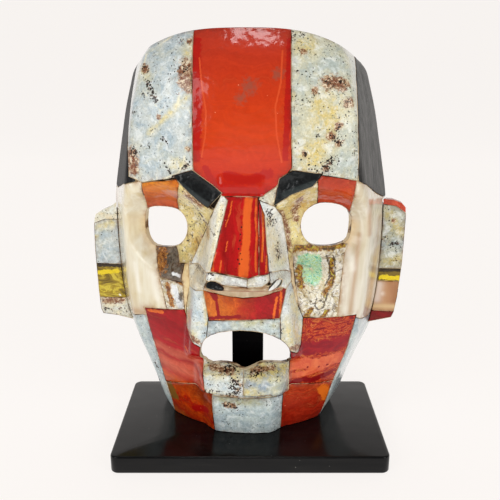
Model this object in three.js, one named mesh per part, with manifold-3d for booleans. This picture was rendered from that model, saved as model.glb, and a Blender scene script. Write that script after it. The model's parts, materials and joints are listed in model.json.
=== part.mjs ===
// A mosaic stone face mask that lifts off a black lacquered display stand.
// Millimetres, +Z up. The mask looks towards -Y. The origin is the centre of the stand's underside.
//
// The mask is a cast core with a hollow back, faced with thin stone and shell tiles that are ground
// to one surface. It is drawn in its own frame: x to the viewer's right, z up from the stand's top,
// and p, the distance in front of the mask's rear rim, which is -y.
import * as THREE from "three";
import { mergeVertices } from "three/addons/utils/BufferGeometryUtils.js";
import Module from "manifold-3d";

// Driving dimensions
const GAP = 0.3; // between neighbouring solids
const BASE = { width: 134, depth: 82, height: 9, corner: 4, edge: 1 };
const POST = { width: 16.5, thickness: 8, height: 161, x: -1.2, y: 15, tenon: 5 };
const MASK = { height: 196, yaw: THREE.MathUtils.degToRad(4.5), x: -0.6, rimY: 22 };
const TILE = 2.4; // thickness of the stone facing
const RIM = 1.5; // the core stands this far behind the tiles' rear edges
const WALL = { side: 7.5, front: 10, top: 8 };
const TOP_DROP = 15; // how much lower the top edge is at its ends than at its middle
const WIRE = { radius: 0.9, z: 156, p: 7, eyeX: 47, eyeZ: 150 };
const EYE = { ring: 3, radius: 0.8, reach: 11 }; // a screw eye; its reach is from the ring's centre
const SCREW = { x: 4.2, head: 3.2, shank: 1.6, length: 19, sunk: 0.4 };
const RECESS = { length: 3.6, width: 0.8, depth: 1 }; // the cross in a screw's head
const HANGER_GROOVE = 5; // front to back, in the post's top
const BLACK = [0.012, 0.012, 0.014];
const ZINC = [0.5, 0.45, 0.3];
const STEEL = [0.35, 0.34, 0.33];

const { smoothstep, clamp } = THREE.MathUtils;
const wasm = await Module();
wasm.setup();

// ---------------------------------------------------------------- solids

// A closed three.js geometry as a manifold-3d solid.
function solid(geometry) {
  const bare = geometry.clone();
  for (const name of Object.keys(bare.attributes)) if (name !== "position") bare.deleteAttribute(name);
  const merged = mergeVertices(bare, 1e-4);
  return new wasm.Manifold(
    new wasm.Mesh({
      numProp: 3,
      vertProperties: merged.attributes.position.array,
      triVerts: new Uint32Array(merged.index.array),
    }),
  );
}

function geometryOf(body) {
  const mesh = body.getMesh();
  const positions = new Float32Array(mesh.numVert * 3);
  for (let i = 0; i < mesh.numVert; i++) {
    for (let k = 0; k < 3; k++) positions[3 * i + k] = mesh.vertProperties[mesh.numProp * i + k];
  }
  const geometry = new THREE.BufferGeometry();
  geometry.setAttribute("position", new THREE.BufferAttribute(positions, 3));
  geometry.setIndex(new THREE.BufferAttribute(new Uint32Array(mesh.triVerts), 1));
  return geometry;
}

// Cutting can leave crumbs beyond a neighbour, so a piece is the largest body that is left.
function largest(body) {
  return body.decompose().reduce((a, b) => (a.volume() > b.volume() ? a : b));
}

// A prism from p = back to p = front over an outline of [x, z] points in the mask's frame.
function prism(outline, back, front) {
  const shape = new THREE.Shape(outline.map(([x, z]) => new THREE.Vector2(x, z)));
  const geometry = new THREE.ExtrudeGeometry(shape, { depth: front - back, bevelEnabled: false });
  geometry.rotateX(Math.PI / 2).translate(0, -back, 0);
  return solid(geometry);
}

// A prism right through the mask.
function cutter(outline) {
  return prism(outline, BEHIND, FRONT);
}

// The outline moved outwards by a distance, with each corner kept sharp.
function grow(outline, distance) {
  const points = outline.map(([x, z]) => new THREE.Vector2(x, z));
  const turn = Math.sign(THREE.ShapeUtils.area(points));
  return points.map((point, i) => {
    const before = points.at(i - 1).clone().sub(point).normalize();
    const after = points[(i + 1) % points.length].clone().sub(point).normalize();
    const normalA = new THREE.Vector2(-before.y, before.x).multiplyScalar(turn);
    const normalB = new THREE.Vector2(after.y, -after.x).multiplyScalar(turn);
    const middle = normalA.add(normalB);
    const reach = clamp(2 / middle.lengthSq(), 0.5, 2);
    return [point.x + middle.x * distance * reach, point.y + middle.y * distance * reach];
  });
}

// A closed smooth loop through the points.
function smoothLoop(outline, steps) {
  const curve = new THREE.CatmullRomCurve3(outline.map(([x, z]) => new THREE.Vector3(x, z, 0)), true);
  return curve.getPoints(steps).slice(0, -1).map((point) => [point.x, point.y]);
}

// ---------------------------------------------------------------- the face surface

// A smooth function through [input, output] points, level beyond its ends.
function through(points) {
  const slope = points.map((_, i) => {
    const [a, b] = [points[Math.max(i - 1, 0)], points[Math.min(i + 1, points.length - 1)]];
    return (b[1] - a[1]) / (b[0] - a[0]);
  });
  return (input) => {
    const v = clamp(input, points[0][0], points.at(-1)[0]);
    const i = Math.max(points.findLastIndex(([x]) => x <= v && x < points.at(-1)[0]), 0);
    const step = points[i + 1][0] - points[i][0];
    const u = (v - points[i][0]) / step;
    return (
      (2 * u ** 3 - 3 * u ** 2 + 1) * points[i][1] +
      (u ** 3 - 2 * u ** 2 + u) * step * slope[i] +
      (3 * u ** 2 - 2 * u ** 3) * points[i + 1][1] +
      (u ** 3 - u ** 2) * step * slope[i + 1]
    );
  };
}

// The mask's half-width at its rim, and its depth on the centreline without nose or lips, by height.
const halfWidth = through([
  [0, 45], [8, 49.5], [20, 54], [30, 58], [46, 64.8], [62, 68.4], [80, 70], [100, 70.6], [116, 70],
  [135, 67.3], [150, 65], [165, 62.7], [180, 59.8], [190, 57.6], [196, 54.5],
]);
const centreDepth = through([
  [0, 36], [12, 39.5], [30, 41], [60, 42], [100, 42.5], [122, 46],
  [145, 47], [168, 43.5], [184, 37.5], [196, 30],
]);

// 1 inside a range of v and 0 outside it, with soft edges of the given widths.
function band(v, low, lowEdge, high, highEdge) {
  return smoothstep(v, low, low + lowEdge) * (1 - smoothstep(v, high, high + highEdge));
}

// The share of the centre depth that is left at a share `a` of the half-width: a gently curved
// front that turns over a soft corner into a steep side, boxier at the forehead than at the jaw.
function section(a, z) {
  const forehead = smoothstep(z, 106, 128);
  const corner = THREE.MathUtils.lerp(0.86, 0.81, forehead);
  const level = THREE.MathUtils.lerp(0.55, 0.8, forehead);
  const front = 1 - (1 - level) * (a / corner) ** 2.3;
  const side = (level * (1 - a)) / (1 - corner);
  const softness = 0.08;
  const mix = clamp(0.5 + (side - front) / (2 * softness), 0, 1);
  return side * (1 - mix) + front * mix - softness * mix * (1 - mix);
}

// Eye sockets, as a recess.
function socket(ax, z) {
  return -9 * (1 - smoothstep(Math.hypot((ax - 37) / 25, (z - 104) / 24), 0.5, 1));
}

// A ridge that falls from the temple to the root of the nose.
function brow(ax, z) {
  const [innerX, innerZ, outerX, outerZ] = [13, 118, 36, 130.5];
  const length = Math.hypot(outerX - innerX, outerZ - innerZ);
  const [ux, uz] = [(outerX - innerX) / length, (outerZ - innerZ) / length];
  const across = (z - innerZ) * ux - (ax - innerX) * uz;
  const along = (ax - innerX) * ux + (z - innerZ) * uz;
  return 2.5 * Math.exp(-((across / 4) ** 2)) * band(along, -4, 6, 24, 8);
}

// A wedge that widens and rises towards its tip.
function nose(ax, z) {
  const down = clamp((124 - z) / 38, 0, 1.2);
  const flat = 8 + 5 * down;
  const foot = 13 + 10 * down;
  return (2 + 22 * down) * (1 - smoothstep(ax, flat, foot)) * band(z, 79, 7, 126, 8);
}

function muzzle(ax, z) {
  const width = 25 - 4 * clamp((z - 45) / 37, 0, 1);
  return 9 * (1 - smoothstep(ax, width - 1, width + 5)) * band(z, 38, 8, 80, 8);
}

function lowerLip(ax, z) {
  return 9 * (1 - smoothstep(ax, 18, 25)) * band(z, 21.5, 4, 34, 7);
}

function chin(ax, z) {
  return 5 * (1 - smoothstep(ax, 13, 22)) * (1 - smoothstep(z, 16, 23));
}

// The height of a point whose row is at z0 on the centreline: the upper rows droop at their ends.
function rowHeight(s, z0) {
  return z0 - TOP_DROP * clamp((2 * z0) / MASK.height - 1, 0, 1) ** 2 * Math.abs(s) ** 3;
}

// A point of the surface from s, -1 to 1 across the mask, and the height z0 on its centreline.
function facePoint(s, z0) {
  const a = Math.abs(s);
  const x = halfWidth(z0) * s;
  const features = socket(a * halfWidth(z0), z0) + brow(Math.abs(x), z0) + nose(Math.abs(x), z0) +
    muzzle(Math.abs(x), z0) + lowerLip(Math.abs(x), z0) + chin(Math.abs(x), z0);
  const fade = 1 - smoothstep(a, 0.84, 0.97);
  return new THREE.Vector3(x, -(centreDepth(z0) * section(a, z0) + features * fade), rowHeight(s, z0));
}

// The inside of the hollow back, from the same two parameters.
function hollowPoint(s, z0) {
  const a = Math.abs(s);
  const x = (halfWidth(z0) - WALL.side) * s;
  const features = socket(Math.abs(x), z0) + 0.45 * (muzzle(Math.abs(x), z0) + lowerLip(Math.abs(x), z0));
  const depth = centreDepth(z0) * section(a, z0) + features * (1 - smoothstep(a, 0.7, 0.95));
  return new THREE.Vector3(x, -Math.max(depth - WALL.front * (1 - a ** 4), 0), rowHeight(s, z0));
}

// The way into the material, square to the mask without its features, so offsets never fold.
// At the top and bottom edges it stays level, so that they come out flush.
function inward(s, z0) {
  const plain = (u, v) => new THREE.Vector3(
    halfWidth(v) * u, -centreDepth(v) * section(Math.abs(u), v), rowHeight(u, v),
  );
  const d = 0.01;
  const across = plain(Math.min(s + d, 1), z0).sub(plain(Math.max(s - d, -1), z0));
  const up = plain(s, Math.min(z0 + 1, MASK.height)).sub(plain(s, Math.max(z0 - 1, 0)));
  const normal = up.cross(across);
  const edge = smoothstep(Math.min(z0, MASK.height - z0), 0, 12);
  normal.z *= edge;
  return normal.normalize();
}

// Columns are closest at the nose and at the turn to the sides, rows at the eyes, nose and lips.
const HALF_COLUMNS = [0.07, 0.14, 0.21, 0.28, 0.35, 0.43, 0.53, 0.64, 0.74, 0.81, 0.87, 0.93, 1];
const COLUMNS = [...HALF_COLUMNS.map((s) => -s).reverse(), 0, ...HALF_COLUMNS];
const ROWS = [
  0, 8, 16, 20, 24, 28, 34, 38, 43, 50, 58, 66, 74, 78, 82, 86, 91, 98, 106,
  113, 119, 124, 129, 135, 146, 160, 174, 186, 196,
];

// A closed solid between a front sheet and a back sheet that have the same grid.
function between(frontPoint, backPoint, columns, rows) {
  const positions = [];
  const index = [];
  const across = columns.length;
  for (const point of [frontPoint, backPoint]) {
    for (const z0 of rows) {
      for (const s of columns) positions.push(...point(s, z0).toArray());
    }
  }
  const back = across * rows.length;
  const quad = (a, b, c, d) => index.push(a, b, c, a, c, d);
  for (let i = 0; i + 1 < rows.length; i++) {
    for (let j = 0; j + 1 < across; j++) {
      const a = i * across + j;
      quad(a, a + 1, a + 1 + across, a + across);
      quad(back + a, back + a + across, back + a + 1 + across, back + a + 1);
    }
    const [left, right] = [i * across, (i + 1) * across - 1];
    quad(left, left + across, back + left + across, back + left);
    quad(right, back + right, back + right + across, right + across);
  }
  for (let j = 0; j + 1 < across; j++) {
    const top = (rows.length - 1) * across + j;
    quad(j, back + j, back + j + 1, j + 1);
    quad(top, top + 1, back + top + 1, back + top);
  }
  const geometry = new THREE.BufferGeometry();
  geometry.setAttribute("position", new THREE.Float32BufferAttribute(positions, 3));
  geometry.setIndex(index);
  return solid(geometry);
}

// The surface moved inwards by a distance, never behind the plane of the tiles' rear edges.
const sunk = (distance) => (s, z0) => {
  const point = facePoint(s, z0).addScaledVector(inward(s, z0), distance);
  point.y = Math.min(point.y, 0);
  return point;
};
const atDepth = (point, y) => (s, z0) => {
  const moved = point(s, z0);
  moved.y = y;
  return moved;
};

// ---------------------------------------------------------------- openings

const EYE_LEFT = smoothLoop([
  [-50.3, 102], [-48.8, 110.6], [-45, 113], [-37.6, 113.8], [-31.3, 112.8],
  [-27.8, 108.5], [-27.2, 103], [-28.8, 98], [-32.6, 94.2], [-39.2, 92.6], [-46, 93], [-49.2, 96.6],
], 28);
const EYE_RIGHT = smoothLoop([
  [27.1, 106.5], [29.3, 113.2], [35.1, 117], [41, 116.9], [47.2, 114.8],
  [51.4, 109.8], [51.9, 103], [50.6, 97.2], [46.6, 95], [39, 94.6], [32.2, 96.2], [28.4, 100.6],
], 28);
const MOUTH = smoothLoop([
  [-18.8, 51.5], [-14, 56.5], [-4, 59.2], [6, 59.3], [13.6, 57.6], [21, 53.2], [24, 47.5],
  [22.6, 39.6], [16.7, 39.6], [11, 40], [5.6, 38.2], [1.2, 37.2], [-3.5, 38.6], [-9.2, 39.2], [-17, 38.8],
  [-19.8, 44],
], 34);
const CORE_RECESS = 2.5; // the core's openings are this much wider than the tiles' all round

// ---------------------------------------------------------------- tiles

// Each tile's outline of [x, z] points, in the order of laying. A later tile is cut to fit the
// earlier ones, so only the edges that it lays down first matter, and the rest may run under them.
const STONE = {
  red: [0.62, 0.06, 0.02], orange: [0.75, 0.2, 0.04], pale: [0.66, 0.71, 0.7], cream: [0.72, 0.6, 0.42],
  yellow: [0.66, 0.57, 0.3], obsidian: [0.05, 0.05, 0.05], shell: [0.55, 0.5, 0.38],
  gold: [0.45, 0.35, 0.05], brown: [0.36, 0.26, 0.18], lip: [0.5, 0.56, 0.56],
};
const UP = 210; // beyond the top edge
const OUT = 90; // beyond the sides
const BEHIND = -5; // beyond the rear rim
const FRONT = 90; // beyond the nose

const FACE_TILES = [
  ["brow_left", "obsidian", [
    [-30.5, 131.2], [-22, 133.8], [-8.5, 124.1], [-15, 117], [-19.8, 120.4], [-26.6, 127],
  ]],
  ["brow_right", "obsidian", [
    [15, 118.4], [17.5, 130.5], [23.3, 134.3], [36.4, 132.6], [32.4, 127.4], [22.5, 123.5],
  ]],
  ["forehead_center", "red", [
    [-23.2, UP], [-21.6, 165], [-21.5, 134], [-15.7, 128.8], [-8, 122.9], [9.9, 122.9],
    [15.8, 127], [22.8, 135.5], [22, 165], [21, UP],
  ]],
  ["forehead_left", "pale", [
    [-23, UP], [-21, 134], [-25, 131], [-31.6, 130.4], [-46.4, 127.3], [-53, 129.6], [-53.4, 150],
    [-53.8, 170], [-52.6, UP],
  ]],
  ["forehead_right", "pale", [
    [21, UP], [22, 134], [30, 132], [36.8, 132.2], [53.1, 129], [52.6, 143], [51.6, 165], [50.2, UP],
  ]],
  ["lid_left", "orange", [
    [-46.5, 126.8], [-28, 130], [-28.2, 126.8], [-31.5, 117], [-31.3, 108], [-48.6, 106],
  ]],
  ["lid_right", "orange", [[34.8, 130], [36.1, 133], [52.4, 129.8], [50.1, 106], [40, 108], [35.2, 112]]],
  ["glabella_right", "cream", [[9.5, 124], [16, 128.6], [22.8, 136], [20, 128], [16, 118], [8.4, 121.6]]],
  ["nose_flank_left", "pale", [[-8.2, 123.6], [-5.8, 121], [-12.3, 91.4], [-24.9, 87.6], [-11.4, 117.4]]],
  ["nose_flank_right", "pale", [
    [8.6, 121.6], [15.1, 118.9], [18.4, 112.4], [22.6, 86], [13.9, 91.6], [11.4, 114.6],
  ]],
  ["nose_ridge", "red", [
    [-7, 124], [7.9, 124], [8.7, 108], [9.3, 90.6], [4.8, 89.3], [-13, 91.8], [-7, 118],
  ]],
  ["nose_ridge_right", "red", [[7, 124], [9.5, 123.5], [13, 114], [14.8, 91.2], [8.5, 90.2]]],
  ["nostril_bead_left", "obsidian", smoothLoop([
    [-13.3, 87.2], [-9.8, 87.6], [-5.8, 85.6], [-6.6, 83.9], [-10.2, 84.9], [-13.4, 85.6],
  ], 12)],
  ["nostril_bead_right", "obsidian", smoothLoop([
    [14.2, 86], [16.8, 86.4], [19.4, 84.8], [18.9, 83.2], [16.4, 83.8], [14, 84.6],
  ], 12)],
  ["nose_tip_left", "pale", [
    [-14, 92.6], [-12.6, 91.2], [4.3, 88.7], [4.4, 86.2], [-5.2, 86.6], [-14.4, 88],
  ]],
  ["nose_tip_right", "pale", [[4.3, 88.9], [9, 90.2], [13.8, 91.6], [14.3, 88], [11, 86.4], [4.4, 86]]],
  ["nose_wing_left", "cream", [[-26, 88.2], [-12, 93], [-14, 87], [-17.3, 78.6], [-25.2, 77.6]]],
  ["nose_wing_right", "pale", [[13.6, 92.2], [23, 86.4], [23.4, 82], [21.1, 80.2], [18.4, 83], [14, 88]]],
  ["nose_base_band", "brown", [
    [-15, 88], [-5, 87], [4.5, 86.6], [11, 87], [21.5, 84], [19, 79.6], [10.1, 76.7], [1.4, 75.6],
    [-8.4, 76.8], [-17.6, 78.8],
  ]],
  ["philtrum", "orange", [[-17.6, 80], [21.5, 81], [18.4, 65.6], [-0.1, 64.6], [-14.8, 63.8]]],
  ["upper_lip", "lip", [[-15, 65], [18.6, 67], [19, 50], [-17.2, 50], [-16, 56]]],
  ["nasolabial_left", "pale", [
    [-25.1, 79], [-16, 79], [-14, 64], [-16, 48], [-22.4, 51], [-27.2, 57], [-27.3, 66],
  ]],
  ["nasolabial_right", "pale", [
    [20, 82], [23.3, 82.4], [25.9, 70.5], [29.2, 62], [28.4, 48], [27.2, 45.4], [18, 54], [18, 68],
  ]],
  ["lower_lip_left", "pale", [[-19.4, 46], [1.1, 46], [1.1, 20.2], [-14.6, 20.4], [-17.8, 27]]],
  ["lower_lip_right", "pale", [[1.1, 46], [23.2, 46], [22.8, 24], [19.6, 20.6], [1.1, 20.2]]],
  ["chin", "lip", [[-15, 21], [20, 21], [18.7, -5], [-14, -5]]],
  ["jaw_left_upper", "red", [
    [-50.5, 61.2], [-28.6, 64.4], [-26, 55], [-17, 50], [-16, 26.6], [-41.4, 20.4], [-45.2, 38.6],
  ]],
  ["jaw_left_lower", "orange", [[-41.4, 21], [-14, 27], [-13, -5], [-38.4, -5], [-38.6, 9]]],
  ["jaw_right_upper", "red", [
    [28.4, 61.8], [55.6, 59], [51.7, 41], [45.2, 22.6], [20, 27.2], [20, 46], [27, 50],
  ]],
  ["jaw_right_lower", "orange", [[19, 28], [45.2, 23.2], [37.6, -5], [18, -5]]],
  ["inner_eye_left", "yellow", [
    [-29, 129], [-14, 116.6], [-10, 115], [-25.4, 87.6], [-31, 86.8], [-33, 93], [-36, 100], [-31.4, 115],
  ]],
  ["inner_eye_right", "yellow", [
    [34.8, 129], [35, 112], [38, 104], [30, 95.8], [24.3, 96.6], [22.2, 88], [14, 112], [14, 120], [22, 126],
  ]],
  ["shell_right", "shell", [
    [23, 97], [32, 99], [50.4, 95], [48.3, 90], [45.8, 58.6], [28, 61], [26.9, 70], [25, 84],
  ]],
  ["shell_left_upper", "brown", [[-46, 98], [-32, 98], [-28.6, 87.6], [-29.8, 78.4], [-41.2, 79.4]]],
  ["shell_left_lower", "shell", [[-41.4, 80], [-29, 79], [-28.4, 60], [-37.6, 63.2]]],
  ["cheek_strip_left", "cream", [[-33, 89], [-22, 86], [-22, 74], [-25, 50], [-32, 58]]],
  ["cheek_strip_right", "cream", [[20, 92], [24, 98], [27.4, 84], [30, 60], [24, 66], [21, 80]]],
  ["cheek_left", "cream", [
    [-OUT, 117.4], [-67, 118.6], [-57, 125], [-45, 128.4], [-46, 108], [-42, 100], [-40, 82],
    [-36.4, 64], [-40, 58], [-52, 57.4], [-63, 53.4], [-OUT, 51],
  ]],
  ["cheek_right", "cream", [
    [OUT, 112], [69, 114.6], [63.6, 119], [56.6, 126.6], [50.6, 130], [48, 108], [46, 100], [46, 90],
    [44, 60], [48, 56], [55.6, 58], [63, 53.4], [OUT, 52],
  ]],
  ["temple_left", "obsidian", [[-OUT, 100], [-62, 112], [-50, 126], [-50, UP], [-OUT, UP]]],
  ["temple_right", "obsidian", [[OUT, 100], [62, 112], [48, 126], [48, UP], [OUT, UP]]],
  ["jaw_edge_left", "pale", [[-OUT, 60], [-48, 64], [-36, 0], [-36, -5], [-OUT, -5]]],
  ["jaw_edge_right", "pale", [[OUT, 60], [52, 64], [36, 0], [36, -5], [OUT, -5]]],
];

// The ears are flat plates with tiled fronts. The top tile of each is also the plate's upper edge.
const EAR_FRONT = 5;
const EAR_LEFT = [
  [-58, 116.5], [-67.2, 111.6], [-72.3, 108], [-76.8, 106.1], [-80.1, 103.8], [-81, 100.7],
  [-81.4, 86.2], [-80.7, 62], [-79.9, 51.5], [-78.9, 49], [-70.9, 48.1], [-58, 45],
];
const EAR_RIGHT = [
  [58, 115], [69.6, 114.1], [73.4, 113.8], [77.7, 112.3], [79.8, 110], [80, 105.3],
  [79.4, 80.7], [77.9, 62.5], [76.6, 54.1], [75.4, 51.1], [68.2, 49.4], [58, 47],
];
const EAR_TILES_LEFT = [
  ["ear_left_top", "cream", [
    [-OUT, 98.6], [-80.7, 99.4], [-75.8, 101.4], [-50, 101.6], [-50, 130], [-OUT, 130],
  ]],
  ["ear_left_upper", "pale", [[-OUT, 77.1], [-50, 77.1], [-50, 120], [-OUT, 120]]],
  ["ear_left_gold", "gold", [[-OUT, 58.2], [-50, 58.2], [-50, 90], [-OUT, 90]]],
  ["ear_left_lower", "cream", [[-OUT, 40], [-50, 40], [-50, 70], [-OUT, 70]]],
];
const EAR_TILES_RIGHT = [
  ["ear_right_top", "orange", [
    [50, 111.7], [70, 111.5], [75, 110.8], [80, 107.4], [OUT, 103], [OUT, 130], [50, 130],
  ]],
  ["ear_right_upper", "pale", [[50, 78], [OUT, 78], [OUT, 120], [50, 120]]],
  ["ear_right_gold", "gold", [[50, 71], [OUT, 71], [OUT, 90], [50, 90]]],
  ["ear_right_shell", "brown", [[50, 55], [OUT, 54.2], [OUT, 80], [50, 80]]],
  ["ear_right_lower", "red", [[50, 40], [OUT, 40], [OUT, 70], [50, 70]]],
];

// ---------------------------------------------------------------- building

function material(colour, roughness, metalness = 0) {
  return new THREE.MeshStandardMaterial({ color: new THREE.Color(...colour), roughness, metalness });
}

const object = new THREE.Group();
const mask = new THREE.Group();
mask.position.set(MASK.x, MASK.rimY, BASE.height);
mask.rotation.z = -MASK.yaw;
object.add(mask);

function add(group, name, body, look) {
  const mesh = new THREE.Mesh(body.isBufferGeometry ? body : geometryOf(body), look);
  mesh.name = name;
  group.add(mesh);
  return mesh;
}

const openings = [EYE_LEFT, EYE_RIGHT, MOUTH];
const lifted = (point) => (s, z0) => {
  const moved = point(s, z0);
  moved.z = Math.max(moved.z, GAP); // the lower edge clears the stand by a hair
  return moved;
};
const wholeFace = between(lifted(facePoint), lifted(atDepth(facePoint, RIM)), COLUMNS, ROWS);
const earKeepOut = [EAR_LEFT, EAR_RIGHT].map((ear) => prism(grow(ear, GAP), -RIM - 1, EAR_FRONT + GAP));

// An ear's outline with its upper edge lowered, for what lies under its top tile.
function lowered(outline, distance) {
  return outline.map(([x, z]) => [x, z > 90 ? z - distance : z]);
}

// The stone facing: one skin, cut into tiles in the order of laying.
function layTiles() {
  let skin = between(lifted(facePoint), lifted(sunk(TILE)), COLUMNS, ROWS);
  for (const outline of openings) skin = skin.subtract(cutter(outline));
  for (const slot of earKeepOut) skin = skin.subtract(slot);
  for (const [name, stone, outline] of FACE_TILES) {
    const tile = largest(skin.intersect(cutter(outline)));
    add(mask, name, tile, material(STONE[stone], 0.2));
    skin = skin.subtract(cutter(grow(outline, GAP)));
  }
}

// The cast core: the face sunk by the tiles' thickness, with the ears' plates, hollow behind.
function castCore() {
  const front = lifted(sunk(TILE + GAP));
  let core = between(front, lifted(atDepth(front, RIM)), COLUMNS, ROWS);
  for (const ear of [EAR_LEFT, EAR_RIGHT]) {
    core = core.add(prism(lowered(ear, TILE + GAP), -RIM, EAR_FRONT - TILE - GAP));
  }
  const hollowColumns = COLUMNS.filter((_, i) => i % 2 === 0);
  const hollowRows = [-3, 16, 30, 46, 62, 78, 90, 104, 118, 130, 150, 170, MASK.height - WALL.top];
  const hollow = between(hollowPoint, atDepth(hollowPoint, RIM + 3), hollowColumns, hollowRows);
  core = core.subtract(hollow);
  for (const outline of openings) core = core.subtract(cutter(grow(outline, CORE_RECESS)));
  for (const side of [-1, 1]) core = core.subtract(eyeHole(side));
  add(mask, "mask_core", largest(core), material(BLACK, 0.6));
}

function layEarTiles() {
  const inFront = wholeFace.add(prism([[-60, 40], [60, 40], [60, 130], [-60, 130]], -RIM, 30));
  for (const [ear, tiles, side] of [[EAR_LEFT, EAR_TILES_LEFT, -1], [EAR_RIGHT, EAR_TILES_RIGHT, 1]]) {
    const behind = prism(lowered(ear, TILE), -RIM - 1, EAR_FRONT - TILE);
    let facing = prism(ear, 0, EAR_FRONT).subtract(behind).subtract(inFront.translate(side * GAP, 0, 0));
    for (const [name, stone, outline] of tiles) {
      add(mask, name, largest(facing.intersect(cutter(outline))), material(STONE[stone], 0.2));
      facing = facing.subtract(cutter(grow(outline, GAP)));
    }
  }
}

// A screw eye in each side wall holds the hanging wire. Its ring lies level.
function screwEye(side) {
  const ring = solid(new THREE.TorusGeometry(EYE.ring, EYE.radius, 8, 18));
  return ring.add(pin(side, EYE.radius, EYE.reach));
}

// A pin along x from the ring outwards.
function pin(side, radius, reach) {
  const length = reach - EYE.ring;
  const rod = new THREE.CylinderGeometry(radius, radius, length, 10).rotateZ(Math.PI / 2);
  return solid(rod.translate(side * (EYE.ring + length / 2), 0, 0));
}

function eyeHole(side) {
  return pin(side, EYE.radius + GAP, EYE.reach + GAP).translate(side * WIRE.eyeX, -WIRE.p, WIRE.eyeZ);
}

function hang() {
  const steel = material(STEEL, 0.45, 1);
  for (const [name, side] of [["hanger_eye_left", -1], ["hanger_eye_right", 1]]) {
    add(mask, name, screwEye(side), steel).position.set(side * WIRE.eyeX, -WIRE.p, WIRE.eyeZ);
  }
  const end = -WIRE.eyeX;
  const half = [
    [end, WIRE.eyeZ - 5], [end, WIRE.eyeZ + 2], [end + 2, WIRE.z - 1], [end + 6, WIRE.z], [-20, WIRE.z],
  ];
  const points = [...half, ...half.map(([x, z]) => [-x, z]).reverse()];
  const curve = new THREE.CatmullRomCurve3(points.map(([x, z]) => new THREE.Vector3(x, -WIRE.p, z)));
  const circle = new THREE.Shape().absarc(0, 0, WIRE.radius, 0, Math.PI * 2);
  const wire = new THREE.ExtrudeGeometry(circle, { steps: 44, curveSegments: 8, extrudePath: curve });
  add(mask, "hanger_wire", solid(wire), steel);
}

// The stand: a base board with rounded corners, and a post tenoned and screwed into it.
function roundedRectangle(width, depth, radius) {
  const [x, y] = [width / 2, depth / 2];
  const shape = new THREE.Shape();
  shape.moveTo(-x + radius, -y);
  shape.lineTo(x - radius, -y).absarc(x - radius, -y + radius, radius, -Math.PI / 2, 0);
  shape.lineTo(x, y - radius).absarc(x - radius, y - radius, radius, 0, Math.PI / 2);
  shape.lineTo(-x + radius, y).absarc(-x + radius, y - radius, radius, Math.PI / 2, Math.PI);
  shape.lineTo(-x, -y + radius).absarc(-x + radius, -y + radius, radius, Math.PI, Math.PI * 1.5);
  return shape;
}

// An upright block on the post's centreline, between two heights.
function block(width, depth, low, high, y) {
  const box = new THREE.BoxGeometry(width, depth, high - low);
  return solid(box.translate(POST.x, y, (low + high) / 2));
}

// A countersunk wood screw at x from the post's centreline, or with a clearance the hole for it,
// which is open below.
function screw(x, clearance = 0) {
  const { head, shank, length, sunk } = SCREW;
  const profile = [
    [0, clearance ? -sunk - 1 : 0], [head + clearance, clearance ? -sunk - 1 : 0], [head + clearance, 0.5],
    [shank + clearance, 2.4], [shank + clearance, length - 3 + clearance], [0.3, length + clearance],
    [0, length + clearance],
  ];
  const lathe = new THREE.LatheGeometry(profile.map(([r, z]) => new THREE.Vector2(r, z)), 14);
  return solid(lathe.rotateX(Math.PI / 2).translate(POST.x + x, POST.y, sunk));
}

// The cross recess in the head of the screw at x.
function crossRecess(x) {
  const bar = new THREE.BoxGeometry(RECESS.length, RECESS.width, 2 * RECESS.depth);
  const cross = solid(bar).add(solid(bar.clone().rotateZ(Math.PI / 2)));
  return cross.translate(POST.x + x, POST.y, SCREW.sunk);
}

function buildStand() {
  const black = material(BLACK, 0.12);
  const { width, depth, height, corner, edge } = BASE;
  const floor = height - POST.tenon;
  const outline = roundedRectangle(width - 2 * edge, depth - 2 * edge, corner - edge);
  const board = new THREE.ExtrudeGeometry(outline, {
    depth: height - 2 * edge, bevelThickness: edge, bevelSize: edge, bevelSegments: 3, curveSegments: 10,
  });
  let base = solid(board.translate(0, 0, edge));
  base = base.subtract(block(POST.width + 2 * GAP, POST.thickness + 2 * GAP, floor, height + 5, POST.y));
  const grooveFloor = WIRE.z - WIRE.radius - GAP + height;
  let post = block(POST.width, POST.thickness, floor + GAP, POST.height + height, POST.y);
  const wireY = MASK.rimY - WIRE.p;
  post = post.subtract(block(POST.width + 2, HANGER_GROOVE, grooveFloor, POST.height + height + 5, wireY));
  for (const [name, side] of [["post_screw_left", -1], ["post_screw_right", 1]]) {
    const hole = screw(side * SCREW.x, GAP);
    base = base.subtract(hole);
    post = post.subtract(hole);
    const turned = screw(side * SCREW.x).subtract(crossRecess(side * SCREW.x));
    add(object, name, turned, material(ZINC, 0.4, 1));
  }
  add(object, "stand_base", base, black);
  add(object, "stand_post", post, black);
}

layTiles();
layEarTiles();
castCore();
hang();
buildStand();

export default object;
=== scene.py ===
"""The looks of a mosaic stone face mask on its lacquered stand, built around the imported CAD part."""

import json
import math

import bmesh
import bpy
import numpy as np
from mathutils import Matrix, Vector
from mathutils.geometry import delaunay_2d_cdt


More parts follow.
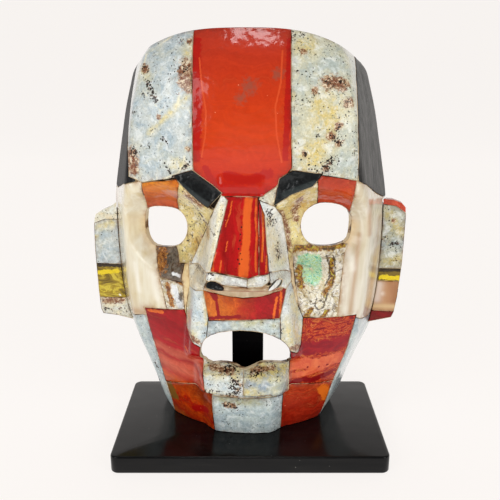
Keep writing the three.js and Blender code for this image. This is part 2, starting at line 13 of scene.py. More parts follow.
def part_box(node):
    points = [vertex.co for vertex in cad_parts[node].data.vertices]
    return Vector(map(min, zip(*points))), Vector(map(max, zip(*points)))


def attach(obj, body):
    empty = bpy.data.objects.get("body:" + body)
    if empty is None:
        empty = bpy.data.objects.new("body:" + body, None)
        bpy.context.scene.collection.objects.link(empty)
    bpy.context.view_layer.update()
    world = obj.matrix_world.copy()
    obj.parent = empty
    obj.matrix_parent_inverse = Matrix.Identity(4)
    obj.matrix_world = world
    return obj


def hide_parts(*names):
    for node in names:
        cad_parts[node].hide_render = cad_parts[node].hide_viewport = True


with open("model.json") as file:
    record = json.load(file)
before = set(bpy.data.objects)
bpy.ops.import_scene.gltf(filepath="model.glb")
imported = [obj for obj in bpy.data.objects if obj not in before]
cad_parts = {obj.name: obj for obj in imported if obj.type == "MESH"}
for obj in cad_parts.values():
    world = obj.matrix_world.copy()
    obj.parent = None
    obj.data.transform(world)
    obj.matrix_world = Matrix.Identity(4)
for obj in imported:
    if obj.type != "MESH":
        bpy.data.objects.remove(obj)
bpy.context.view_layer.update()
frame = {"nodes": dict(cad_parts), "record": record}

MM = 0.001
BASE_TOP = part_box("stand_base")[1][2]

# The mask's frame: x to the viewer's right, p forward from the rear rim, z up from the stand's top,
# all in millimetres.
YAW = math.radians(4.5)
COS, SIN = math.cos(YAW), math.sin(YAW)
MASK_X, MASK_RIM_Y = -0.6, 22.0
HEIGHT = 196.0
TOP_DROP = 15.0
TILE = 2.4
LIFT = 0.3  # the gap below the lowest tiles
EAR_FRONT = 5.0
SOFT = 0.3  # the radius of a tile's eased edge
EDGE_DARKENING_REACH = 1.6  # how far a tile's edge stain and painted edge shade fade into it
JOINT = 0.3  # the open joint between two tiles
FILLER_DEPTH = 0.1  # how far the filler lies below the stones
FILLER_LAP = 0.3  # how far down the tile's side the filler starts

MASK_NODES = frame["record"]["behaviour"]["bodies"]["mask"]


# ---- the mask's surface


def through(points):
    """A smooth function through (input, output) points, level beyond its ends."""
    inputs, outputs = np.array(points, float).T
    ends = np.clip(np.arange(len(inputs))[:, None] + [-1, 1], 0, len(inputs) - 1).T
    slopes = (outputs[ends[1]] - outputs[ends[0]]) / (inputs[ends[1]] - inputs[ends[0]])

    def curve(v):
        v = np.clip(np.asarray(v, float), inputs[0], inputs[-1])
        i = np.clip(np.searchsorted(inputs, v, side="right") - 1, 0, len(inputs) - 2)
        step = inputs[i + 1] - inputs[i]
        u = (v - inputs[i]) / step
        return (
            (2 * u**3 - 3 * u**2 + 1) * outputs[i]
            + (u**3 - 2 * u**2 + u) * step * slopes[i]
            + (3 * u**2 - 2 * u**3) * outputs[i + 1]
            + (u**3 - u**2) * step * slopes[i + 1]
        )

    return curve


half_width = through([
    (0, 45), (8, 49.5), (20, 54), (30, 58), (46, 64.8), (62, 68.4), (80, 70), (100, 70.6), (116, 70),
    (135, 67.3), (150, 65), (165, 62.7), (180, 59.8), (190, 57.6), (196, 54.5),
])
centre_depth = through([
    (0, 36), (12, 39.5), (30, 41), (60, 42), (100, 42.5), (122, 46),
    (145, 47), (168, 43.5), (184, 37.5), (196, 30),
])


def smoothstep(v, low, high):
    u = np.clip((v - low) / (high - low), 0, 1)
    return u * u * (3 - 2 * u)


def band(v, low, low_edge, high, high_edge):
    """1 inside a range and 0 outside it, with soft edges of the given widths."""
    return smoothstep(v, low, low + low_edge) * (1 - smoothstep(v, high, high + high_edge))


def section(a, z):
    """The share of the centre depth that is left at a share `a` of the half-width."""
    forehead = smoothstep(z, 106, 128)
    corner = 0.86 - 0.05 * forehead
    level = 0.55 + 0.25 * forehead
    front = 1 - (1 - level) * (a / corner) ** 2.3
    side = level * (1 - a) / (1 - corner)
    softness = 0.08
    mix = np.clip(0.5 + (side - front) / (2 * softness), 0, 1)
    return side * (1 - mix) + front * mix - softness * mix * (1 - mix)


def features(ax, z):
    """How far the eye sockets, brows, nose, muzzle, lip and chin stand out at |x| and a height."""
    relief = -9 * (1 - smoothstep(np.hypot((ax - 37) / 25, (z - 104) / 24), 0.5, 1))

    inner, outer = np.array([13, 118]), np.array([36, 130.5])
    ux, uz = (outer - inner) / np.linalg.norm(outer - inner)
    across = (z - inner[1]) * ux - (ax - inner[0]) * uz
    along = (ax - inner[0]) * ux + (z - inner[1]) * uz
    relief += 2.5 * np.exp(-((across / 4) ** 2)) * band(along, -4, 6, 24, 8)

    down = np.clip((124 - z) / 38, 0, 1.2)
    flat, foot = 8 + 5 * down, 13 + 10 * down
    relief += (2 + 22 * down) * (1 - smoothstep(ax, flat, foot)) * band(z, 79, 7, 126, 8)

    width = 25 - 4 * np.clip((z - 45) / 37, 0, 1)
    relief += 9 * (1 - smoothstep(ax, width - 1, width + 5)) * band(z, 38, 8, 80, 8)
    relief += 9 * (1 - smoothstep(ax, 18, 25)) * band(z, 21.5, 4, 34, 7)
    relief += 5 * (1 - smoothstep(ax, 13, 22)) * (1 - smoothstep(z, 16, 23))
    return relief


def row_height(s, z0):
    return z0 - TOP_DROP * np.clip(2 * z0 / HEIGHT - 1, 0, 1) ** 2 * np.abs(s) ** 3


def plain_point(s, z0):
    """The surface without its features, as [x, -p, z]."""
    return np.stack([half_width(z0) * s, -centre_depth(z0) * section(np.abs(s), z0), row_height(s, z0)], -1)


def face_point(s, z0):
    """The surface from s, -1 to 1 across the mask, and the height z0 on its centreline."""
    point = plain_point(s, z0)
    point[..., 1] -= features(np.abs(point[..., 0]), z0) * (1 - smoothstep(np.abs(s), 0.84, 0.97))
    return point


def inward(s, z0):
    """The way into the material, level at the top and bottom edges."""
    d = 0.01
    across = plain_point(np.minimum(s + d, 1), z0) - plain_point(np.maximum(s - d, -1), z0)
    up = plain_point(s, np.minimum(z0 + 1, HEIGHT)) - plain_point(s, np.maximum(z0 - 1, 0))
    normal = np.cross(up, across)
    normal[..., 2] *= smoothstep(np.minimum(z0, HEIGHT - z0), 0, 12)
    return normal / np.linalg.norm(normal, axis=-1, keepdims=True)


def to_world(points):
    """Points [x, -p, z] of the mask's frame, in metres in the part's frame."""
    x, y, z = np.asarray(points, float).T
    turned = [MASK_X + x * COS + y * SIN, MASK_RIM_Y + y * COS - x * SIN, z]
    return np.stack(turned, -1) * MM + [0, 0, BASE_TOP]


def to_mask(points):
    """The other way: metres in the part's frame to [x, -p, z]."""
    x, y, z = ((np.asarray(points, float) - [0, 0, BASE_TOP]) / MM).T
    x, y = x - MASK_X, y - MASK_RIM_Y
    return np.stack([x * COS - y * SIN, x * SIN + y * COS, z], -1)


class Face:
    """The curved face, laid out flat as u, the distance across it, and v, the height z0."""

    shares = np.linspace(0, 1, 400)
    rise = np.gradient(section(shares, 140.0), shares) * 45
    lengths = np.concatenate([[0], np.cumsum(np.hypot(66, rise)[1:] * np.diff(shares))])

    def flatten(self, x, z):
        z0 = z.copy()
        for _ in range(30):
            z0 += z - row_height(np.clip(x / half_width(z0), -1, 1), z0)
        s = np.clip(x / half_width(z0), -1, 1)
        at_rim = np.abs(s) > np.where(z0 > 125, 0.95, 0.985)
        s = np.where(at_rim, np.sign(s), s)
        z0 = np.where(z0 > HEIGHT - 1, HEIGHT, np.where(z0 < 1, 0, z0))
        return np.sign(s) * np.interp(np.abs(s), self.shares, self.lengths), z0

    def shares_at(self, u):
        return np.sign(u) * np.interp(np.abs(u), self.lengths, self.shares)

    def at_border(self, u, v):
        return (np.abs(u) > self.lengths[-1] - 0.1) | (v < 0.1) | (v > HEIGHT - 0.1)

    def front(self, u, v):
        return face_point(self.shares_at(u), v)

    def into(self, u, v):
        return inward(self.shares_at(u), v)


class Ear:
    """An ear's flat front."""

    def flatten(self, x, z):
        return x, z

    def at_border(self, u, v):
        return np.zeros(len(u), bool)

    def front(self, u, v):
        return np.stack([u, np.full_like(u, -EAR_FRONT), v], -1)

    def into(self, u, v):
        return np.tile([0.0, 1.0, 0.0], (len(u), 1))


# ---- outlines from the CAD tiles


def cad_front(node):
    """The loop of [x, z] points round the front of a CAD tile."""
    mesh = frame["nodes"][node].data
    mesh.calc_loop_triangles()
    corners = np.array([to_mask([v.co])[0] for v in mesh.vertices])
    _, first, same = np.unique(np.round(corners, 4), axis=0, return_index=True, return_inverse=True)
    corners = corners[first]
    following = {}
    for triangle in mesh.loop_triangles:
        a, b, c = (int(same.reshape(-1)[i]) for i in triangle.vertices)
        normal = np.cross(corners[b] - corners[a], corners[c] - corners[a])
        if -normal[1] > 0.02 * np.linalg.norm(normal):
            for start, end in ((a, b), (b, c), (c, a)):
                following.setdefault(start, set()).add(end)
    for start, ends in following.items():
        for end in list(ends):
            if start in following.get(end, ()):
                ends.discard(end)
                following[end].discard(start)
    loops = []
    while any(following.values()):
        start = next(i for i, ends in following.items() if ends)
        loop = [start]
        while following.get(loop[-1]):
            loop.append(following[loop[-1]].pop())
        loops.append(corners[loop[:-1] if loop[-1] == start else loop][:, [0, 2]])
    return max(loops, key=lambda loop: abs(area(loop)))


def area(loop):
    x, y = loop.T
    return 0.5 * float(np.dot(x, np.roll(y, -1)) - np.dot(y, np.roll(x, -1)))


def simplified(loop, tolerance=0.04):
    """The loop's corners: the points that a straight run between its neighbours would miss."""
    far = int(np.argmax(np.linalg.norm(loop - loop[0], axis=1)))

    def keep(a, b):
        if b - a < 2:
            return []
        chord = loop[b % len(loop)] - loop[a]
        offset = loop[np.arange(a + 1, b)] - loop[a]
        miss = np.abs(chord[0] * offset[:, 1] - chord[1] * offset[:, 0]) / (np.linalg.norm(chord) + 1e-9)
        worst = int(np.argmax(miss))
        if miss[worst] < tolerance:
            return []
        middle = a + 1 + worst
        return keep(a, middle) + [middle] + keep(middle, b)

    return loop[[0] + keep(0, far) + [far] + keep(far, len(loop))]


def resampled(surface, loop, spacing):
    """The loop laid out flat, with a point at least every `spacing` millimetres."""
    flat = []
    for a, b in zip(loop, np.roll(loop, -1, axis=0)):
        ends = np.stack(surface.flatten(*np.array([a, b]).T), -1)
        count = max(int(math.ceil(np.linalg.norm(ends[1] - ends[0]) / spacing)), 1)
        share = np.arange(count)[:, None] / count
        flat.append(np.stack(surface.flatten(*(a + (b - a) * share).T), -1))
    flat = np.concatenate(flat)
    apart = np.linalg.norm(flat - np.roll(flat, 1, axis=0), axis=1) > 0.02
    return flat[apart]


def distance_to(loop, points):
    """Each point's distance to the closed loop."""
    nearest = np.full(len(points), 1e9)
    for a, d in zip(loop, np.roll(loop, -1, axis=0) - loop):
        t = np.clip(((points - a) @ d) / (d @ d), 0, 1)
        nearest = np.minimum(nearest, np.linalg.norm(points - a - t[:, None] * d, axis=1))
    return nearest


def inside(loop, points):
    hits = np.zeros(len(points), bool)
    for (ax, ay), (bx, by) in zip(loop, np.roll(loop, -1, axis=0)):
        if ay != by:
            spans = (points[:, 1] < ay) != (points[:, 1] < by)
            hits ^= spans & (points[:, 0] < ax + (points[:, 1] - ay) * (bx - ax) / (by - ay))
    return hits


def offset_loop(loop, distance):
    """The loop moved inwards, or outwards by a negative distance."""
    before = loop - np.roll(loop, 1, axis=0)
    after = np.roll(loop, -1, axis=0) - loop
    before /= np.linalg.norm(before, axis=1, keepdims=True)
    after /= np.linalg.norm(after, axis=1, keepdims=True)
    normal = np.stack([-(before + after)[:, 1], (before + after)[:, 0]], -1)
    reach = 2 / np.maximum((normal**2).sum(1, keepdims=True), 1.2)
    return loop + normal * reach * distance


def triangulated(loop, points):
    """Triangles that fill the loop through the points. The loop's own points come first, in order."""
    every = np.concatenate([loop, points]) if len(points) else loop
    edges = [(i, (i + 1) % len(loop)) for i in range(len(loop))]
    corners, _, faces, origins, _, _ = delaunay_2d_cdt([Vector(p) for p in every], edges, [], 1, 1e-5)
    source = [origin[0] if origin else -1 for origin in origins]
    order = {k: i for i, k in enumerate(source)}
    flat = np.array([corner[:] for corner in corners])
    return flat, [list(face) for face in faces], [order.get(k, -1) for k in range(len(loop))]


# ---- painted marks


def stroke(points, *lines):
    """How strongly the given marks cover the points: 1 at a mark's middle and fading over its width.

    A mark is (width, x, z, x, z, ...) in the mask's frame: one point is a blot, more are a line."""
    cover = np.zeros(len(points))
    for width, *route in lines:
        route = np.array(route, float).reshape(-1, 2)
        pairs = zip(route, route[1:]) if len(route) > 1 else [(route[0], route[0])]
        for a, b in pairs:
            d = b - a
            t = np.clip(((points - a) @ d) / max(d @ d, 1e-9), 0, 1)
            gap = np.linalg.norm(points - a - t[:, None] * d, axis=1)
            cover = np.maximum(cover, np.exp(-((gap / width) ** 2)))
    return cover


# ---- meshes


def new_object(name, data):
    thing = bpy.data.objects.new(name, data)
    bpy.context.scene.collection.objects.link(thing)
    return thing


def shaded(name, mesh, material, angle):
    """A piece in one material, smooth but for the edges that turn by more than an angle."""
    mesh.materials.clear()
    mesh.materials.append(material)
    mesh.shade_smooth()
    mesh.set_sharp_from_angle(angle=math.radians(angle))
    return new_object(name, mesh)


def new_piece(name, corners, faces, material, angle=50):
    mesh = bpy.data.meshes.new(name)
    mesh.from_pydata([tuple(c) for c in corners], [], faces)
    mesh.validate()
    return shaded(name, mesh, material, angle)


def below(surface, flat, depth):
    return surface.front(*flat.T) + surface.into(*flat.T) * depth


def stone_tile(node, surface, material, marks, spacing):
    """A fine tile in place of a CAD tile: the same outline on the smooth surface, with eased edges."""
    loop = resampled(surface, simplified(cad_front(node)), spacing)
    if area(loop) < 0:
        loop = loop[::-1]
    low, high = loop.min(0), loop.max(0)
    columns, rows = (np.arange(low[k] + spacing / 2, high[k], spacing) for k in (0, 1))
    grid = np.stack([g.reshape(-1) for g in np.meshgrid(columns, rows)], -1)
    odd_row = np.round((grid[:, 1] - low[1]) / spacing).astype(int) % 2
    grid[:, 0] += np.where(odd_row, spacing / 4, -spacing / 4)
    grid = grid[inside(loop, grid)]
    grid = grid[distance_to(loop, grid) > SOFT + spacing * 0.35] if len(grid) else grid
    rings = []
    for depth in (0.17 * SOFT, 0.5 * SOFT, SOFT):
        ring = offset_loop(loop, depth)
        rings.append(ring[inside(loop, ring) & (distance_to(loop, ring) > 0.8 * depth)])
    flat, faces, rim = triangulated(loop, np.concatenate(rings + [grid]))
    rim_gap = distance_to(loop, flat)
    eased = SOFT - np.sqrt(SOFT**2 - (SOFT - np.clip(rim_gap, 0, SOFT)) ** 2)
    front = below(surface, flat, eased[:, None])

    coarse = grid[:: max(int(12 / spacing**2), 1)] if len(grid) else grid
    flat_back, faces_back, rim_back = triangulated(loop, coarse)
    back = below(surface, flat_back, TILE)
    back[:, 1] = np.minimum(back[:, 1], 0)
    corners = np.concatenate([front, back])
    corners[:, 2] = np.maximum(corners[:, 2], LIFT)
    n = len(front)
    faces += [[n + i for i in reversed(face)] for face in faces_back]
    for k in range(len(loop)):
        a, b = rim[k - 1], rim[k]
        c, d = rim_back[k] + n, rim_back[k - 1] + n
        if min(a, b) >= 0 and min(c, d) >= n:
            faces.append([b, a, d, c])
    piece = new_piece(node + "_stone", to_world(corners), faces, material)
    # The edge attribute, 1 at the outline and fading inwards, drives the edge stain and the painted shade at
    # the joints.
    nearness = piece.data.attributes.new("edge", "FLOAT", "POINT")
    nearness.data.foreach_set("value", np.concatenate([np.exp(-rim_gap / EDGE_DARKENING_REACH), np.ones(len(back))]))
    paint = piece.data.color_attributes.new("paint", "FLOAT_COLOR", "POINT")
    colours = np.zeros((len(corners), 4))
    colours[:, 3] = 1
    for channel, lines in enumerate(marks):
        colours[:, channel] = stroke(corners[:, [0, 2]], *lines) if lines else 0
    paint.data.foreach_set("color", colours.reshape(-1))
    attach(piece, "mask")
    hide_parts(node)
    return loop


def joint_filler(loops):
    """The filler in the joints: a narrow ledge round every tile, half a joint wide."""
    corners, faces = [], []
    for surface, loop in loops:
        outer = offset_loop(loop, -(JOINT / 2 + 0.02))
        if isinstance(surface, Face):
            reach = surface.lengths[-1]
            outer = np.clip(outer, [-reach, 0], [reach, HEIGHT])
        start, count = len(corners), len(loop)
        for edge, depth in ((loop, FILLER_DEPTH + FILLER_LAP), (outer, FILLER_DEPTH), (outer, TILE)):
            sheet = below(surface, edge, depth)
            sheet[:, 1] = np.minimum(sheet[:, 1], 0)
            sheet[:, 2] = np.maximum(sheet[:, 2], LIFT)
            corners.extend(to_world(sheet))
        inner = ~surface.at_border(*loop.T)
        for k in range(count):
            j = (k + 1) % count
            if inner[k] and inner[j]:
                for row in (start, start + count):
                    faces.append([row + k, row + count + k, row + count + j, row + j])
    piece = new_piece("joint_filler", corners, faces, filler_material())
    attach(piece, "mask")


def refined(node, material, bevel=0.0, angle=35, name=None):
    """A smooth-shaded copy of a CAD node in its place, with its sharp edges eased by `bevel` millimetres."""
    mesh = frame["nodes"][node].data.copy()
    shape = bmesh.new()
    shape.from_mesh(mesh)
    bmesh.ops.remove_doubles(shape, verts=shape.verts, dist=1e-6)
    bmesh.ops.dissolve_limit(shape, angle_limit=math.radians(1), verts=shape.verts, edges=shape.edges)
    if bevel:
        sharp = [e for e in shape.edges if e.calc_face_angle(0) > math.radians(angle)]
        bmesh.ops.bevel(
            shape, geom=sharp, offset=bevel * MM, segments=3, profile=0.5, affect="EDGES", clamp_overlap=True,
        )
    shape.to_mesh(mesh)
    shape.free()
    piece = shaded(name or node + "_fine", mesh, material, angle)
    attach(piece, "mask" if node in MASK_NODES else "stand")
    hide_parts(node)
    return piece


# ---- materials


def srgb(red, green, blue):
    """A colour as it is seen on a screen, 0 to 255, as a linear one."""
    channels = (red, green, blue)
    return tuple(c / 3295 if c < 11 else ((c / 255 + 0.055) / 1.055) ** 2.4 for c in channels) + (1,)


class Shader:
    """A material's node tree, with a short call for each kind of node and the colour that it has reached.

    Sizes are in millimetres. A colour is given as it is seen on a screen, 0 to 255."""

    def __init__(self, name="stone"):
        self.material = bpy.data.materials.new(name)
        self.material.use_nodes = True
        self.nodes = self.material.node_tree.nodes
        self.links = self.material.node_tree.links
        self.nodes.clear()
        self.place = self.mask_place()
        self.colour = (255, 255, 255)

    def node(self, kind, inputs=None, **settings):
        node = self.nodes.new("ShaderNode" + kind)
        for key, value in settings.items():
            setattr(node, key, value)
        for key, value in (inputs or {}).items():
            socket = node.inputs[key]
            if isinstance(value, bpy.types.NodeSocket):
                self.links.new(value, socket)
            else:
                socket.default_value = srgb(*value) if socket.type == "RGBA" else value
        return node

    def mask_place(self):
        """The place on the mask, [x, -p, z] in millimetres."""
        coordinates = self.node("TexCoord").outputs["Object"]
        origin = [MASK_X * COS - MASK_RIM_Y * SIN, MASK_X * SIN + MASK_RIM_Y * COS, BASE_TOP / MM]
        return self.node("Mapping", {
            "Vector": coordinates, "Scale": (1 / MM,) * 3, "Rotation": (0, 0, YAW),
            "Location": [-c for c in origin],
        }).outputs[0]

    def stretched(self, scale, turn=(0, 0, 0)):
        inputs = {"Vector": self.place, "Scale": scale, "Rotation": turn}
        return self.node("Mapping", inputs).outputs[0]

    def noise(self, size, detail=4, rough=0.55, bend=0, vector=None):
        """Cloudy noise whose features are about `size` across."""
        inputs = {
            "Vector": vector or self.place, "Scale": 1 / size, "Detail": detail,
            "Roughness": rough, "Distortion": bend,
        }
        return self.node("TexNoise", inputs).outputs["Fac"]

    def fold_line(self, size, bend, strength, gaps):
        """A winding line, where noise passes through its middle, broken by gaps."""
        off = self.math("ABSOLUTE", self.math("SUBTRACT", self.noise(size, 3, 0.5, bend), 0.5))
        return self.times(self.span(off, 0, 0.02, strength, 0), gaps)

    def cells(self, size, feature="F1", vector=None):
        inputs = {"Vector": vector or self.place, "Scale": 1 / size}
        return self.node("TexVoronoi", inputs, feature=feature).outputs["Distance"]

    def math(self, operation, *values):
        return self.node("Math", dict(enumerate(values)), operation=operation).outputs[0]

    def times(self, first, second):
        return self.math("MULTIPLY", first, second)

    def span(self, value, low, high, to_low=0, to_high=1):
        inputs = {0: value, 1: low, 2: high, 3: to_low, 4: to_high}
        return self.node("MapRange", inputs, clamp=True).outputs[0]

    def mix(self, share, first, second, blend="MIX"):
        inputs = {0: share, 6: first, 7: second}
        return self.node("Mix", inputs, data_type="RGBA", blend_type=blend).outputs[2]

    def lay(self, share, tint, blend="MIX"):
        """Lays a tint over the colour so far."""
        self.colour = self.mix(share, self.colour, tint, blend)

    def ramp(self, value, stops):
        node = self.node("ValToRGB", {0: value})
        elements = node.color_ramp.elements
        while len(elements) < len(stops):
            elements.new(0.5)
        for element, (position, *colour) in zip(elements, stops):
            element.position = position
            element.color = srgb(*colour)
        return node.outputs[0]

    def along(self, direction, wobble, size, detail, bend):
        """The distance along a direction [x, -p, z], bent by noise."""
        dot = self.node("VectorMath", {0: self.place, 1: direction}, operation="DOT_PRODUCT")
        noise = self.noise(size, detail, bend=bend)
        return self.math("ADD", dot.outputs["Value"], self.span(noise, 0.25, 0.75, -wobble, wobble))

    def along_vector(self, direction, wobble, size):
        """Coordinates that change quickly along a direction and slowly across it, for fine lines."""
        value = self.times(self.along(direction, wobble * 1.3, size * 0.8, 4, 0.6), 0.55)
        slow = self.node("VectorMath", {0: self.place, 1: (0.05, 0.05, 0.05)}, operation="MULTIPLY")
        lifted = self.node("CombineXYZ", {0: value}).outputs[0]
        return self.node("VectorMath", {0: slow.outputs[0], 1: lifted}, operation="ADD").outputs[0]

    def strata(self, value, stops):
        """Colours that follow a distance: stops are (millimetres, red, green, blue)."""
        low, high = stops[0][0], stops[-1][0]
        shares = [((distance - low) / (high - low), *colour) for distance, *colour in stops]
        return self.ramp(self.span(value, low, high), shares)

    def paint(self, channel):
        """The cover of the first, second or third kind of painted mark."""
        attribute = self.node("Attribute", attribute_name="paint").outputs["Color"]
        return self.node("SeparateColor", {0: attribute}).outputs[channel]

    def broken(self, channel, size, low=0.42, high=0.52, push=0.35):
        """The cover of a kind of painted mark, with a ragged edge."""
        cover = self.paint(channel)
        noise = self.span(self.noise(size, 5, 0.65), 0.3, 0.7, -push, push)
        shown = self.math("ADD", cover, noise)
        return self.times(self.span(shown, low, high), self.span(cover, 0.08, 0.2))

    def crumbs(self, cover, size):
        """Small ragged spots, closer together where the cover is higher."""
        level = self.span(cover, 0, 1, 0.33, 0.56)
        spots = self.math("SUBTRACT", level, self.noise(size, 4, 0.62, 0.3))
        return self.times(self.span(spots, 0, 0.03), self.span(cover, 0, 0.06))

    def edge_stain_and_shade(self, stain_and_shade, strength=0.8, size=2.5):
        """Lays a darkening that creeps in unevenly from the tile's outline: partly a stain, partly painted
        shade at the joints.
        """
        near = self.node("Attribute", attribute_name="edge").outputs["Fac"]
        patchy = self.times(near, self.span(self.noise(size, 4, 0.65), 0.38, 0.62))
        self.lay(self.times(patchy, strength), stain_and_shade)

    def ground(self):
        """The slight unevenness of stone that was ground and lacquered by hand."""
        return [(self.noise(9, 2), 0.5), (self.noise(1.6, 3), 0.035)]

    def surface(self, roughness=0.3, coat=1, coat_roughness=0.06, bumps=None, metallic=0, **more):
        """Ends the tree: bumps are (height, depth), and ground stone without any."""
        normal = None
        for height, depth in self.ground() if bumps is None else bumps:
            inputs = {"Height": height, "Distance": depth * MM, "Strength": 1}
            if normal:
                inputs["Normal"] = normal
            normal = self.node("Bump", inputs).outputs[0]
        inputs = {
            "Base Color": self.colour, "Roughness": roughness, "Coat Weight": coat, "Coat IOR": 1.38,
            "Coat Roughness": coat_roughness, "Metallic": metallic, "Specular IOR Level": 0.12, **more,
        }
        if normal:
            inputs["Normal"] = normal
            if coat:
                inputs["Coat Normal"] = normal
        shader = self.node("BsdfPrincipled", inputs)
        self.node("OutputMaterial", {0: shader.outputs[0]})
        return self.material


BLACK_SPECK = (38, 28, 22)
SEAM_BROWN, RED_SEAM = (112, 74, 42), (92, 22, 14)
RUST_TONES = [(0.3, 40, 28, 22), (0.42, 112, 70, 42), (0.5, 160, 118, 78), (0.6, 226, 208, 178)]
RED_RUST = (116, 58, 32)


def mottled(light, cool, warm, specks=0.3, warmth=0.5, vein=None, stain_and_shade=0.6):
    """Pale stone with cloudy tints, small dark specks, and painted clusters of them."""
    s = Shader()
    s.colour = s.mix(s.span(s.noise(9, 6, 0.66, 0.8), 0.4, 0.6), cool, light)
    clouds = s.math("ADD", s.span(s.noise(12, 5, 0.65, 1.2), 0.48, 0.7, 0, warmth), s.paint(2))
    grain = s.noise(0.9, 5, 0.7)
    patchy = s.times(clouds, s.span(s.noise(2.8, 5, 0.7), 0.36, 0.58, 0.25, 1))
    s.lay(s.math("MINIMUM", patchy, 1), warm)
    s.lay(s.span(grain, 0.38, 0.6, 0.4, 0), (160, 160, 146), "MULTIPLY")
    s.lay(s.span(s.noise(4, 5, 0.7, 0.8), 0.5, 0.64, 0, 0.5), (240, 243, 240))
    if vein:
        slanted = s.stretched((1, 1, 0.6), (0, 0.6, 0))
        crack = s.span(s.cells(17, feature="DISTANCE_TO_EDGE", vector=slanted), 0, 0.03, 0.8, 0)
        s.lay(s.times(crack, s.span(s.noise(6, 3), 0.45, 0.6)), vein)
    s.edge_stain_and_shade(SEAM_BROWN, stain_and_shade)
    rust = s.times(s.broken(1, 1.8, 0.3, 0.62, 0.4), 0.9)
    s.lay(rust, s.ramp(s.noise(1.7, 5, 0.75, 0.5), RUST_TONES))
    reds = s.crumbs(s.math("MAXIMUM", s.times(s.paint(0), 0.5), s.times(s.paint(1), 0.8)), 1.5)
    s.lay(s.times(reds, 0.8), RED_RUST)
    spread = s.span(s.noise(10, 3, 0.6), 0.44, 0.68, 0.02, specks)
    dark = s.crumbs(s.math("MAXIMUM", s.times(s.paint(0), 0.85), spread), 1.05)
    crowd = s.math("ADD", s.paint(0), s.span(s.noise(7, 3, 0.6), 0.42, 0.6, 0, 0.4 + specks))
    dots = s.span(s.math("SUBTRACT", s.times(s.math("MINIMUM", crowd, 1), 0.3), s.cells(1.7)), 0, 0.05)
    s.lay(s.math("MAXIMUM", dark, dots), BLACK_SPECK)
    return s.surface(0.32, bumps=s.ground() + [(grain, 0.03)])


def agate(
    direction, stops, wobble, size, mark=None, second=None, third=None, calm=1, ragged=0.28, coat=0.55,
):
    """Banded red and orange stone, with painted marks of three colours. A low calm quietens the banding."""
    s = Shader()
    s.colour = s.strata(s.along(direction, wobble, size, 4, 0.5), stops)
    lines = s.noise(1, 4, 0.6, 0.5, s.along_vector(direction, wobble, size))
    s.lay(s.span(lines, 0.4, 0.6, 0, 0.45 * calm), (120, 18, 14), "MULTIPLY")
    s.lay(s.span(lines, 0.58, 0.66, 0, 0.3 * calm), (236, 124, 70))
    s.lay(s.span(s.noise(6, 6, 0.68, 1), 0.36, 0.6, 0.6 * calm, 0), (200, 96, 66), "MULTIPLY")
    if third:
        s.lay(s.times(s.broken(2, 2, 0.3, 0.9, 0.5), 0.55), third)
    if mark:
        s.lay(s.broken(0, 2.2, 0.36, 0.6, ragged), mark)
    if second:
        s.lay(s.broken(1, 1.1, 0.36, 0.56, 0.6 * ragged), second)
    s.edge_stain_and_shade(RED_SEAM, 0.7, 3)
    pores = s.times(s.span(s.cells(3.4), 0.04, 0.08, 1, 0), s.span(s.noise(4, 2), 0.56, 0.62))
    s.lay(pores, (235, 150, 110))
    return s.surface(0.22, coat)


def marbled(first, second, spots):
    """Folded red and orange stone, with painted bands and dark spots."""
    s = Shader()
    folds = s.noise(8, 5, 0.6, 2.6, s.stretched((0.6, 0.6, 1.5), (0, 0.15, 0)))
    s.colour = s.ramp(folds, [
        (0.34, 112, 10, 18), (0.43, 150, 18, 22), (0.485, 206, 86, 34), (0.51, 158, 26, 20),
        (0.55, 150, 18, 22), (0.59, 214, 112, 48), (0.64, 140, 16, 22),
    ])
    s.lay(s.broken(0, 4, 0.3, 0.6, 0.3), s.mix(s.span(folds, 0.4, 0.6), first, second))
    tone = s.mix(s.span(s.noise(5, 5, 0.65, 1), 0.4, 0.6), (206, 86, 56), (222, 112, 68))
    s.lay(s.broken(1, 4, 0.34, 0.54, 0.24), tone)
    s.lay(s.broken(2, 3, 0.36, 0.56, 0.2), spots)
    s.edge_stain_and_shade(RED_SEAM, 0.7, 3)
    return s.surface(0.22, 0.55)


def onyx(lean=0, tone=(216, 202, 166), light=(230, 224, 204), dark=(204, 184, 144)):
    """Cream onyx with soft bands that run up and down."""
    s = Shader()
    bands = s.noise(1, 3, 0.5, 0.5, s.stretched((0.1, 0.1, 0.014), (0, lean, 0)))
    s.colour = s.ramp(bands, [(0.3, *dark), (0.42, *tone), (0.56, *light), (0.68, *tone)])
    s.lay(s.span(s.noise(14, 5, 0.6, 0.6), 0.4, 0.66, 0, 0.5), light)
    fine = s.noise(1, 3, 0.6, 0.3, s.stretched((0.5, 0.5, 0.05), (0, lean, 0)))
    s.lay(s.span(fine, 0.4, 0.62, 0.16, 0), (222, 202, 168), "MULTIPLY")
    s.edge_stain_and_shade((158, 110, 66), 0.85, 6)
    s.lay(s.times(s.paint(0), 0.6), (170, 122, 76))
    s.lay(s.times(s.paint(1), 0.45), (250, 247, 238))
    s.lay(s.times(s.paint(2), 0.75), (214, 186, 138))
    return s.surface(0.2)


def obsidian():
    """Black volcanic glass, knapped and polished."""
    s = Shader()
    drift = s.noise(3, 5, 0.65, 0.8)
    s.colour = s.mix(s.span(drift, 0.4, 0.65), (14, 15, 16), (30, 33, 34))
    # The first kind of mark lays a lighter grey on the brows' lower facets: a painted sheen that shows the
    # facet.
    s.lay(s.span(s.paint(0), 0.2, 0.5, 0, 0.8), (46, 52, 52))
    # The second kind of mark is a painted white highlight, on the right nostril bead.
    s.lay(s.span(s.paint(1), 0.3, 0.5), (250, 250, 248))
    chips = s.noise(6, 3, 0.5, 1)
    return s.surface(0.3, 0.6, 0.05, bumps=[(chips, 0.9), (drift, 0.05)])


